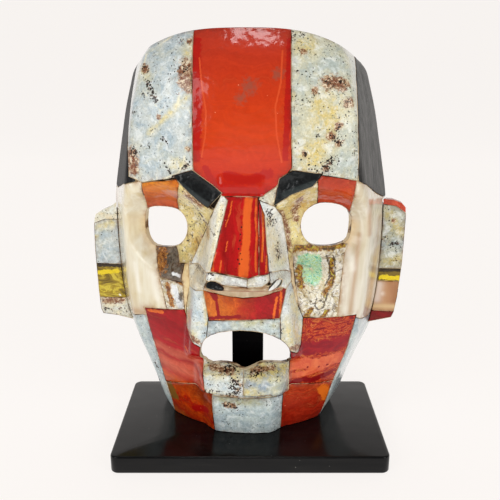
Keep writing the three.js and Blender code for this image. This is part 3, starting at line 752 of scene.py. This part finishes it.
def streaked_obsidian(dark, grey, coat):
    """Obsidian ground with long strokes, that shows silky grey streaks."""
    s = Shader()
    streak = s.noise(1, 5, 0.7, 0.2, s.stretched((0.9, 0.9, 0.02)))
    wide = s.noise(1, 3, 0.6, 0.3, s.stretched((0.14, 0.14, 0.012)))
    s.colour = s.mix(s.span(wide, 0.4, 0.6), dark, grey)
    s.lay(s.span(streak, 0.44, 0.62, 0, 0.55), [c + 46 for c in grey])
    s.edge_stain_and_shade((12, 12, 12), 0.9, 5)
    return s.surface(0.5, coat, 0.12, bumps=[(streak, 0.12)])


def shell(stops, dark=0.4, milk=0.8, tints=None, stains=None):
    """Mother-of-pearl: folded layers of colour under a clear coat, with dark growth lines."""
    s = Shader()
    folds = s.noise(7, 6, 0.62, 2.2)
    s.colour = s.ramp(folds, stops)
    s.lay(s.span(s.noise(1.6, 5, 0.7, 1.5), 0.38, 0.58, 0.3, 0), (196, 172, 130), "MULTIPLY")
    s.lay(s.span(s.noise(5, 4, 0.6, 2), 0.5, 0.6, 0, milk), (248, 246, 238))
    line = s.fold_line(9, 2, 1, s.span(s.noise(6, 3, 0.6), 0.4, 0.5))
    scribble = s.fold_line(4.6, 1.8, 0.8, s.span(s.noise(5, 3), 0.42, 0.54))
    s.lay(s.times(s.math("MAXIMUM", line, scribble), dark), (76, 54, 32))
    # On the left shells these tints are a painted white glint; on the right shell they are its mint colour.
    if tints:
        s.lay(s.broken(0, 2.4, 0.3, 0.6, 0.35), s.ramp(s.noise(3, 5, 0.7, 1.6), tints))
    if stains:
        s.lay(s.broken(2, 2.2, 0.3, 0.66, 0.55), s.ramp(s.noise(2, 5, 0.7, 1.2), stains))
    s.edge_stain_and_shade(SEAM_BROWN, 0.8)
    s.lay(s.times(s.broken(1, 0.9, 0.36, 0.7, 0.5), 0.85), (66, 48, 30))
    bumps = s.ground() + [(folds, 0.7), (line, -0.2), (scribble, -0.15)]
    return s.surface(0.16, bumps=bumps, metallic=0.1)


def gold_shell(warm=(160, 134, 34), deep=(70, 56, 18), light=(216, 194, 66)):
    """Golden lip shell: a silky glint that folds across the piece."""
    s = Shader()
    folds = s.noise(1, 5, 0.65, 1.2, s.stretched((0.07, 0.07, 0.17), (0, 0.35, 0)))
    s.colour = s.ramp(folds, [(0.3, *deep), (0.42, 118, 96, 26), (0.5, *warm), (0.56, *light), (0.62, *warm)])
    for channel, tint in enumerate([(240, 232, 206), (52, 40, 24), (232, 204, 30)]):
        s.lay(s.broken(channel, 2, 0.4, 0.6), tint)
    return s.surface(0.25, bumps=[(folds, 1.2), (s.noise(1.2, 3), 0.05)], metallic=0.3)


def filler_material():
    s = Shader("joint_filler")
    browns = [(0.4, 52, 34, 22), (0.46, 130, 92, 58), (0.52, 220, 198, 160)]
    s.colour = s.ramp(s.noise(9, 4, 0.6), browns)
    return s.surface(0.35, 0.8, bumps=())


def resin_material():
    """The dark core, brushed by hand inside."""
    s = Shader("core_resin")
    strokes = s.noise(1, 5, 0.65, 0.5, s.stretched((0.5, 0.5, 0.06), (0, 0.3, 0)))
    s.colour = s.ramp(s.noise(14, 5, 0.6), [(0.3, 24, 21, 19), (0.6, 46, 38, 32), (0.75, 70, 58, 46)])
    rough = s.span(strokes, 0.3, 0.7, 0.42, 0.68)
    bumps = [(strokes, 0.35), (s.noise(5, 3), 0.5), (s.noise(0.8, 3), 0.08)]
    return s.surface(rough, 0.25, 0.35, bumps=bumps)


def lacquer_material():
    """Black lacquer on wood, with dust and faint brush waves."""
    s = Shader("black_lacquer")
    grain = s.noise(1, 4, 0.6, 0.2, s.stretched((0.02, 0.35, 0.35)))
    s.colour = s.mix(s.span(grain, 0.4, 0.7, 0, 1), (10, 10, 11), (20, 19, 19))
    dust = s.times(s.span(s.cells(3.1), 0.035, 0.07, 1, 0), s.span(s.noise(9, 3), 0.5, 0.64))
    s.lay(s.times(dust, 0.7), (150, 146, 140))
    rough = s.math("ADD", s.span(s.noise(25, 4), 0.3, 0.7, 0.13, 0.24), s.times(dust, 0.4))
    bumps = [(grain, 0.02), (s.noise(30, 2), 0.35)]
    return s.surface(rough, 0, bumps=bumps, **{"Specular IOR Level": 0.22})


def metal_material(name, tone, dull):
    s = Shader(name)
    scuff = s.noise(1.5, 5, 0.7)
    s.colour = s.mix(s.span(scuff, 0.35, 0.7, 0, 1), tone, dull)
    rough = s.span(scuff, 0.3, 0.7, 0.28, 0.5)
    return s.surface(rough, 0, metallic=1, bumps=[(s.noise(0.6, 3), 0.02)])


# ---- the tiles' stones and marks

# Pale stones: their light, cool and warm tints.
PALE = ((206, 212, 209), (174, 190, 198), (220, 206, 150))
LIP = ((222, 227, 225), (190, 206, 214), (230, 216, 162))
STRAW = ((214, 213, 190), (182, 192, 186), (222, 200, 126))
CREAM = ((236, 226, 196), (216, 218, 206), (222, 196, 140))
YELLOW = ((238, 222, 152), (222, 204, 138), (206, 160, 72))
NOSE = ((250, 250, 242), (232, 238, 236), (246, 234, 190))
BLUE_GREY = ((202, 214, 212), (166, 184, 192), (196, 196, 160))
CRIMSON, DEEP_RED = (186, 22, 28), (142, 14, 20)
ORANGE, AMBER = (226, 104, 34), (230, 142, 60)
# A painted white highlight, laid as tints on the left shells.
PAINTED_GLINT = [(0.4, 226, 230, 230), (0.6, 244, 246, 246)]
AMBER_STAIN = [(0.4, 96, 50, 22), (0.52, 176, 112, 48), (0.62, 214, 160, 84)]
MINT = [
    (0.34, 74, 160, 118), (0.43, 140, 212, 170), (0.49, 214, 240, 222), (0.53, 190, 214, 84),
    (0.57, 150, 214, 190), (0.66, 226, 240, 220),
]
OLIVE = [(0.34, 46, 34, 20), (0.44, 118, 82, 40), (0.52, 178, 116, 44), (0.62, 190, 192, 60)]
NACRE = [(0.32, 190, 170, 126), (0.44, 224, 212, 176), (0.54, 242, 238, 222), (0.66, 216, 204, 168)]

EAR_TOPS = ("ear_left_top", "ear_right_top")
COARSE, FINE = 0.9, 0.6  # the spacing of a tile's mesh
FINELY_MARKED = (
    "forehead_center", "nose_ridge", "nose_ridge_right",
    "shell_left_upper", "shell_left_lower", "shell_right",
)

# For each tile its stone and up to three kinds of painted marks, as the stone's colours need.
STONES = {
    "forehead_center": (
        agate((0, 0, 1), [(112, 184, 14, 6), (126, 190, 20, 8), (134, 196, 48, 14),
            (150, 204, 62, 14), (176, 194, 54, 20), (190, 186, 52, 28), (200, 176, 52, 34)], 4, 20,
            mark=(174, 24, 12), second=(206, 74, 34), third=(122, 82, 66), calm=0.3, coat=0.8),
        [(2.6, -21, 190, -19.5, 165, -20, 140), (1.6, -16, 135, -10, 125),
         (1.6, 21, 190, 20.6, 160, 20, 140), (2.4, -6, 132, 4, 130, 13, 133), (2.2, -4, 126, 6, 125)],
        [(0.4, -19, 183, -17.6, 172, -15.4, 160, -15.6, 150, -17.5, 140),
         (0.4, 17.8, 186, 17.4, 172, 15.2, 162, 16, 150, 18.4, 138)],
        [(4, 4, 171), (3, 0, 166), (3, 16, 176)],
    ),
    "forehead_left": (
        mottled(*PALE, vein=(240, 232, 200)),
        [(2.4, -25, 179), (1.8, -28, 190), (1.8, -45, 178), (2.6, -50, 141), (1.8, -49.5, 159),
         (1.2, -45.3, 166.5), (1, -36, 148.4, -34, 146.8), (0.9, -42.2, 144.4), (1.2, -23.8, 137, -26, 135),
         (1, -35.5, 137, -31, 131.5), (1.6, -43, 172, -39, 164), (1, -41, 184)],
        [(4.6, -25, 178, -24.5, 172), (2.4, -45, 178), (3.2, -51, 140, -50.5, 133), (1.4, -23.6, 143.7),
         (1.4, -37.5, 157), (1.6, -24, 190)],
        [(3.5, -24, 186), (3, -45, 175), (1.4, -42, 150, -24, 166), (4, -28, 136)],
    ),
    "forehead_right": (
        mottled(*STRAW, specks=0.45),
        [(1.6, 22.8, 192.6), (1.5, 26, 193), (2.6, 38.5, 172), (2.2, 47.5, 164), (2, 44, 172.5),
         (1.4, 43.4, 153.3), (2, 40.6, 148.5, 43.6, 146.4), (1.6, 28.7, 141.7), (2.8, 40.7, 138.5, 38, 135),
         (1.2, 34, 149.5), (1.2, 47, 170), (1.2, 24, 177), (1.2, 50.5, 142)],
        [(2, 32.4, 169.2), (3.6, 38, 172.5, 44.5, 171.5), (2.6, 47.5, 163.5), (2.2, 43, 153.6),
         (2.4, 39.8, 149), (1.8, 43.4, 146), (1.6, 28.7, 141.7), (1.8, 27, 185.5), (1.8, 38, 135)],
        [(9, 38, 160), (8, 32, 142), (5, 27, 188), (6, 40, 156)],
    ),
    "glabella_right": (mottled(*CREAM),),
    "lid_left": (
        agate((0.1, 0, 1), [(104, 180, 82, 40), (113, 200, 92, 40), (118, 214, 108, 32),
            (123, 228, 142, 34), (130, 206, 104, 48)], 2.5, 10, calm=0.6),
    ),
    "lid_right": (
        agate((0.2, 0, 1), [(110, 168, 50, 30), (124, 188, 62, 34), (130, 208, 82, 28),
            (136, 188, 66, 40), (142, 186, 70, 46)], 3, 8, calm=0.6),
    ),
    # The brows' marks lay a painted sheen, lighter grey, on their lower facets.
    "brow_left": (obsidian(), [(1.5, -28, 127.5, -15.5, 118.5)]),
    "brow_right": (obsidian(), [(1.5, 20, 123.6, 33, 128.6)]),
    "nose_flank_left": (
        mottled(*NOSE, stain_and_shade=0.3, warmth=0.3),
        [(0.8, -14.5, 108, -11, 106)],
        [(1.6, -15.8, 106.5, -15.4, 103.5)],
        [(1.6, -8, 119, -13.2, 93), (2, -17, 104, -21, 92)],
    ),
    "nose_flank_right": (
        mottled(*NOSE, stain_and_shade=0.3, warmth=0.35),
        [(1.8, 13, 116, 14.5, 110), (1, 16.5, 100, 17.5, 94)],
        [],
        [(1.8, 12.6, 112, 16.4, 93), (2.4, 19, 92)],
    ),
    "nose_ridge": (
        agate((1, 0, 0.06), [(-12, 206, 30, 26), (-3, 204, 34, 26), (0, 158, 18, 20),
            (6, 200, 28, 28), (20, *CRIMSON)], 1.5, 9, mark=(222, 96, 38), second=BLACK_SPECK, calm=0.6,
            ragged=0.14),
        [(2, 3.9, 122, 3.2, 114, 3.6, 106, 2.8, 98), (2.5, 2.8, 99, 2.6, 91),
         (0.5, 7.4, 122, 7.2, 113, 8, 107, 7.7, 98, 8.2, 92), (0.45, -10.2, 99, -11.2, 95, -10.8, 91),
         (0.4, -7.4, 96, -8, 91), (0.35, -3.6, 121, -4.2, 116, -6.2, 110), (0.35, -5, 104, -5.6, 100)],
        [(0.45, 1.2, 110), (0.4, 0.7, 107), (0.5, 0.5, 104.4), (0.45, 1.3, 103), (0.5, 0.1, 101),
         (0.45, 0.9, 99), (0.5, 0, 96.6), (0.5, 0.7, 95), (0.45, -0.6, 93), (0.4, 1.7, 97)],
    ),
    "nose_ridge_right": (
        agate((1, 0, 0.02), [(6, *DEEP_RED), (16, *CRIMSON)], 1, 8, mark=ORANGE, calm=0.6, ragged=0.14),
        [(0.5, 10.2, 120, 10.8, 106, 10.6, 96), (0.4, 12.6, 98, 12.6, 92)],
    ),
    "inner_eye_left": (
        mottled(*YELLOW, specks=0.5, vein=(70, 50, 30)),
        [(1.1, -20, 112), (0.6, -25, 118, -21, 116, -17, 108), (0.7, -19, 101, -15.5, 100)],
        [(1, -19.5, 101), (3, -24, 122, -19, 119), (1.2, -18, 95, -16, 90)],
        [(5, -22, 96)],
    ),
    "inner_eye_right": (
        mottled(*YELLOW, specks=0.2, vein=(120, 80, 40)),
        [],
        [(1.6, 27, 121, 24, 114, 25, 109), (1.4, 18, 115, 21, 104, 22, 96)],
        [(6, 28, 118)],
    ),
    # The left shells' first marks lay a painted glint.
    "shell_left_upper": (
        shell([(0.34, 62, 54, 46), (0.46, 92, 84, 74), (0.54, 122, 114, 100), (0.66, 76, 56, 38)],
            0.4, 0.06, PAINTED_GLINT, AMBER_STAIN),
        [(1, -33.6, 82, -30.6, 81.4)],
        [(1.6, -30, 88)],
        [(3.2, -41.4, 96, -40.6, 84), (1.6, -37, 97.5, -28, 97), (2.6, -25, 94, -25, 80)],
    ),
    "shell_left_lower": (
        shell(NACRE, 0.8, 0.8, PAINTED_GLINT, AMBER_STAIN),
        [(1.8, -33, 75, -30.4, 66)],
        [(1.3, -30.2, 69.5, -30, 72.5)],
        [(1.4, -37, 76, -35, 66), (1.6, -27, 79, -26.6, 72), (1.2, -32, 79, -28, 77)],
    ),
    "shell_right": (
        shell(NACRE, 0.9, 0.8, MINT, OLIVE),
        [(3.4, 28.5, 89, 33, 88), (3.2, 30, 83, 34.5, 81), (2.2, 35.5, 89, 36, 82)],
        [(0.9, 38.5, 93.5, 44, 93), (0.5, 40, 90, 41.6, 86, 41.4, 81, 39.4, 77.4),
         (0.5, 43.4, 90, 44.4, 85, 43, 78),
         (0.5, 35.6, 71, 34.8, 67.6, 36.4, 65.4, 39, 66, 39.4, 69, 37.2, 70), (0.6, 41, 73, 40, 70)],
        [(2.2, 26, 95, 33, 94.6), (1.8, 35, 94, 48, 94.6), (1.8, 26.8, 86, 28, 78),
         (1.6, 42.6, 88, 43, 80, 39, 73), (1.6, 33, 66, 30.6, 61), (1.2, 41, 64, 38, 61)],
    ),
    "cheek_strip_left": (onyx(0, (214, 184, 126), (232, 214, 168), (158, 116, 64)),),
    "cheek_strip_right": (onyx(0, (220, 200, 150), (236, 222, 184), (176, 136, 84)),),
    "cheek_left": (
        onyx(),
        [(2.4, -69, 114, -68.5, 60), (1.2, -39, 84, -37.5, 66), (2, -60, 57, -44, 60)],
        [(1.2, -46, 92, -43, 89, -39, 87.5), (2.2, -45, 80, -43, 68), (1.4, -55, 84, -53, 70)],
        [(4, -48, 104, -44, 93)],
    ),
    "cheek_right": (
        onyx(0.1, (208, 198, 172), (226, 220, 204), (196, 178, 144)),
        [(1.6, 66, 106, 63, 60), (1.3, 55.6, 100, 52.6, 62), (1.4, 60, 116, 61, 100)],
        [(1.8, 64.5, 107, 64, 92), (1.6, 50.5, 94, 53, 84)],
        [(3.5, 52, 104, 50, 96), (1.4, 66.6, 90, 62.5, 62)],
    ),
    "temple_left": (streaked_obsidian((16, 16, 17), (44, 44, 45), 0.0),),
    "temple_right": (streaked_obsidian((12, 12, 12), (64, 63, 61), 0.2),),
    "jaw_edge_left": (mottled(*BLUE_GREY, specks=0.2, warmth=0.2), [(1, -47, 30, -45, 26)]),
    "jaw_edge_right": (mottled(*BLUE_GREY, specks=0.1, warmth=0.2),),
    "jaw_left_upper": (
        agate((0.2, 0, 1), [(8, 206, 72, 26), (17, 214, 92, 30), (20, 196, 58, 34),
            (24, 214, 104, 76), (28, 204, 84, 60), (30, 176, 32, 30), (32, 206, 98, 74),
            (35, 198, 84, 64), (36.5, 180, 20, 28), (44, 170, 16, 26), (47, 148, 10, 20),
            (52, 172, 18, 26), (60, 182, 20, 20)], 1.6, 14, mark=ORANGE, calm=0.6),
        [(1.3, -27.5, 45), (0.9, -48, 60.5, -40, 61.5)],
    ),
    "jaw_left_lower": (
        agate((0.5, 0, 1), [(-26, 208, 130, 44), (-16, 206, 104, 30), (-12, 196, 52, 14),
            (-6, 214, 80, 16), (-1, 176, 26, 12), (2, 206, 76, 16), (7, 196, 84, 22),
            (11, 150, 60, 20)], 5, 7, mark=(122, 84, 30), second=(160, 16, 12)),
        [(3.2, -40.5, 20, -37, 13)],
        [(2.2, -25, 9, -19, 11)],
    ),
    "jaw_right_upper": (
        marbled((134, 12, 28), (158, 22, 30), (128, 10, 14)),
        [(4.2, 26, 46, 36, 45, 50, 45.5)],
        [(3.4, 23, 37, 30, 37.5, 38, 35.5, 47.5, 37), (1.6, 22, 31, 34, 31.5, 42, 34)],
        [(1.5, 22, 27, 30, 28, 34, 26.5, 44, 28.5), (0.8, 32, 34.5), (0.8, 37.6, 33.8), (0.7, 42, 33.8)],
    ),
    "jaw_right_lower": (
        agate((0.05, 0, 1), [(-2, 176, 42, 22), (8, 186, 48, 24), (18, 196, 62, 34),
            (26, 206, 84, 40)], 3, 12, mark=(226, 110, 30)),
        [(3, 40, 20, 42, 14)],
    ),
    "nose_tip_left": (mottled(*NOSE), [(1, -13.5, 91, -11, 90.5)], [], [(2, -8, 89)]),
    "nose_tip_right": (mottled(*NOSE), [], [], [(2, 6, 88), (1.6, 14, 90)]),
    "nose_wing_left": (mottled(*CREAM, specks=0.3), [(1.2, -22, 87, -17, 89)]),
    "nose_wing_right": (mottled(*NOSE, warmth=0.6),),
    "nostril_bead_left": (obsidian(),),
    # Its second mark is a painted white highlight.
    "nostril_bead_right": (obsidian(), [], [(1.1, 15, 84.6, 17.8, 85.4)]),
    "nose_base_band": (onyx(1.5, (176, 156, 128), (206, 190, 160), (120, 88, 60)),),
    "philtrum": (
        agate((1, 0, 0.1), [(-14, *AMBER), (-2, 222, 120, 36), (3, 222, 112, 34), (9, 196, 64, 26),
            (14, *CRIMSON), (26, 160, 16, 22)], 4, 6, mark=DEEP_RED, second=ORANGE),
        [(0.8, -12, 80, -10, 66), (1.6, -14, 79, -11.5, 75), (1, -14, 65, 0, 66.5)],
        [(0.6, 17, 76, 15.5, 66), (0.6, 19, 80, 18.6, 66)],
    ),
    "upper_lip": (mottled(*BLUE_GREY, warmth=0.6), [], [], [(2, -2, 62, 10, 64), (2, 16, 62)]),
    "nasolabial_left": (
        mottled(*LIP, stain_and_shade=0.3, warmth=0.6),
        [(0.8, -18, 58, -17, 57)],
        [(1.4, -25, 55, -20, 52)],
        [(1.6, -26, 74, -26.5, 60), (2.5, -23, 56), (1, -17, 76, -16, 62)],
    ),
    "nasolabial_right": (
        mottled(*LIP, stain_and_shade=0.3, warmth=0.5),
        [(0.8, 19, 60, 19.2, 57)],
        [(1.2, 27, 48, 24, 50)],
        [(5, 23, 60, 26, 52), (2, 27, 64, 24, 74)],
    ),
    "lower_lip_left": (
        mottled(*LIP, specks=0.6),
        [(4, -2, 32, -4, 26), (2, -8, 37, -2, 38.5), (1.5, -10, 21.5, -4, 22)],
        [(1.2, 0, 31), (1.2, -1.5, 28.5), (1.6, -10, 22, -3, 21.5), (1.3, -15, 37.6, -4, 36.8)],
        [(4, -18, 37, -2, 37), (3, -14, 24, -4, 23)],
    ),
    "lower_lip_right": (
        mottled((198, 203, 184), (142, 160, 178), (222, 204, 132), specks=0.4),
        [(2, 5, 36, 9, 36.5), (0.8, 12, 36.2)],
        [(1, 3, 23, 14, 25), (0.9, 5, 37.2, 16, 38)],
        [(3.4, 4, 27, 8, 25), (4, 6, 37, 21, 37)],
    ),
    "chin": (
        mottled(*BLUE_GREY, specks=0.35, warmth=0.2),
        [(1.4, -9, 17, -3, 16.5), (0.8, 2, 16.5), (0.8, -7, 6)],
        [(1.4, -8, 17.2, -4, 16.6)],
        [(2, -12, 19, 8, 19)],
    ),
    "ear_left_upper": (
        mottled(*PALE, warmth=0.3),
        [(0.8, -72, 95)],
        [],
        [(2.5, -79, 97, -72, 99), (1.6, -80.5, 92)],
    ),
    "ear_left_gold": (gold_shell(), [(1, -69.5, 59.5)], [(1.2, -80, 76, -69, 76)], [(1.4, -80, 72, -70, 73)]),
    "ear_left_lower": (
        mottled(*CREAM),
        [(1.4, -77.5, 51.5, -75, 51), (1.4, -70, 51.6)],
        [(2, -78, 56, -68, 57)],
    ),
    "ear_right_upper": (
        mottled((186, 188, 172), (146, 160, 162), (194, 176, 108), 0.35),
        [(1.6, 70.3, 94), (1.6, 73.5, 90.5, 76.5, 91.5), (1, 72, 103), (0.8, 77, 82)],
        [(1.2, 74, 103)],
        [(3.5, 72, 106, 78, 98), (3, 71, 81, 78, 83)],
    ),
    "ear_right_gold": (
        gold_shell((120, 96, 28), (60, 44, 16), (206, 176, 40)),
        [],
        [(1.1, 68, 77, 79, 77)],
        [(1.3, 69, 72.8, 79, 72.8)],
    ),
    "ear_right_shell": (
        onyx(0.5, (156, 104, 70), (186, 140, 100), (110, 66, 34)),
        [],
        [(2.4, 68.5, 69, 67.5, 61), (1.6, 70, 64)],
        [(1.4, 66, 57, 77, 57)],
    ),
    "ear_right_lower": (agate((0.2, 0, 1), [(50, *CRIMSON), (64, *DEEP_RED), (80, *DEEP_RED)], 2, 5),),
    "ear_left_top": (mottled(*CREAM, warmth=1),),
    "ear_right_top": (agate((1, 0, 0), [(58, *AMBER), (66, 212, 96, 68), (80, 206, 84, 56)], 2, 5),),
}


def lay_mosaic():
    face, ear = Face(), Ear()
    loops = []
    for node, (material, *marks) in STONES.items():
        material.name = node
        if node in EAR_TOPS:
            refined(node, material, bevel=0.3)
            continue
        surface = ear if node.startswith("ear") else face
        spacing = FINE if node in FINELY_MARKED else COARSE
        loops.append((surface, stone_tile(node, surface, material, marks, spacing)))
    joint_filler(loops)


# ---- core, hanger and stand


def make_core():
    """The cast core, its hollow smoothed as resin sets."""
    core = refined("mask_core", resin_material(), name="mask_core_cast")
    remesh = core.modifiers.new("remesh", "REMESH")
    remesh.mode = "VOXEL"
    remesh.voxel_size = 1.3 * MM
    smooth = core.modifiers.new("smooth", "CORRECTIVE_SMOOTH")
    smooth.iterations = 6
    smooth.use_only_smooth = True
    core.data = bpy.data.meshes.new_from_object(core.evaluated_get(bpy.context.evaluated_depsgraph_get()))
    core.modifiers.clear()
    core.data.shade_smooth()


def make_hanger():
    steel = metal_material("hanger_steel", (150, 148, 144), (104, 100, 94))
    for node in ("hanger_wire", "hanger_eye_left", "hanger_eye_right"):
        refined(node, steel, angle=50)


def make_stand():
    lacquer = lacquer_material()
    refined("stand_base", lacquer, angle=30)
    refined("stand_post", lacquer, bevel=0.5)
    zinc = metal_material("screw_zinc", (176, 160, 112), (132, 116, 78))
    for node in ("post_screw_left", "post_screw_right"):
        refined(node, zinc, bevel=0.15, angle=40)


# ---- stage


def make_stage():
    """A pale sweep: a floor that curves up into a backdrop."""
    width, near, bend, radius, top = 8.0, -5.0, 1.0, 0.8, 5.0
    profile = [(near, 0.0), (bend, 0.0)]
    for k in range(1, 17):
        turn = math.pi / 2 * k / 16
        profile.append((bend + radius * math.sin(turn), radius * (1 - math.cos(turn))))
    profile.append((bend + radius, top))
    corners = [(x, y, z) for y, z in profile for x in (-width, width)]
    faces = [[2 * k, 2 * k + 1, 2 * k + 3, 2 * k + 2] for k in range(len(profile) - 1)]
    s = Shader("paper")
    s.colour = (112, 110, 108)
    glow = {"Emission Color": (249, 245, 242), "Emission Strength": 0.895}
    paper = s.surface(0.9, 0.0, bumps=(), **glow)
    sweep = new_piece("backdrop", corners, faces, paper, angle=40)


def add_light(name, place, aim, size, power, shines=True):
    """A soft rectangular lamp. One that does not shine is left out of reflections."""
    lamp = bpy.data.lights.new(name, "AREA")
    lamp.shape = "RECTANGLE"
    lamp.size, lamp.size_y = size
    lamp.energy = power
    light = new_object(name, lamp)
    light.location = place
    light.rotation_euler = (Vector(aim) - Vector(place)).to_track_quat("-Z", "Y").to_euler()
    light.visible_glossy = shines


def light_scene():
    middle = (0, 0, 0.1)
    add_light("softbox_left", (-0.7, -0.8, 0.6), middle, (0.5, 0.5), 2.9)
    add_light("softbox_right", (0.75, -0.7, 0.5), middle, (0.4, 0.5), 1.9)
    add_light("front_fill", (0, -1.1, 0.22), (0, 0, 0.07), (0.7, 0.3), 5.5, shines=False)
    add_light("overhead", (-0.03, -0.25, 0.95), middle, (0.22, 0.1), 0.7)
    world = bpy.data.worlds.new("studio")
    world.use_nodes = True
    colour, strength = world.node_tree.nodes["Background"].inputs[:2]
    colour.default_value = (1, 0.985, 0.965, 1)
    strength.default_value = 0.2
    bpy.context.scene.world = world
    bpy.context.scene.view_settings.view_transform = "Standard"


def add_camera():
    """The photograph's viewpoint: level with the mask's forehead, close, and tipped down."""
    lens = bpy.data.cameras.new("camera")
    lens.sensor_width = 36
    lens.lens = 50.54
    camera = new_object("camera", lens)
    camera.location = (0, -0.3365, BASE_TOP + 0.1826)
    camera.rotation_euler = (math.radians(90 - 15.27), 0, 0)
    bpy.context.scene.camera = camera


add_camera()
lay_mosaic()
make_core()
make_hanger()
make_stand()
make_stage()
light_scene()
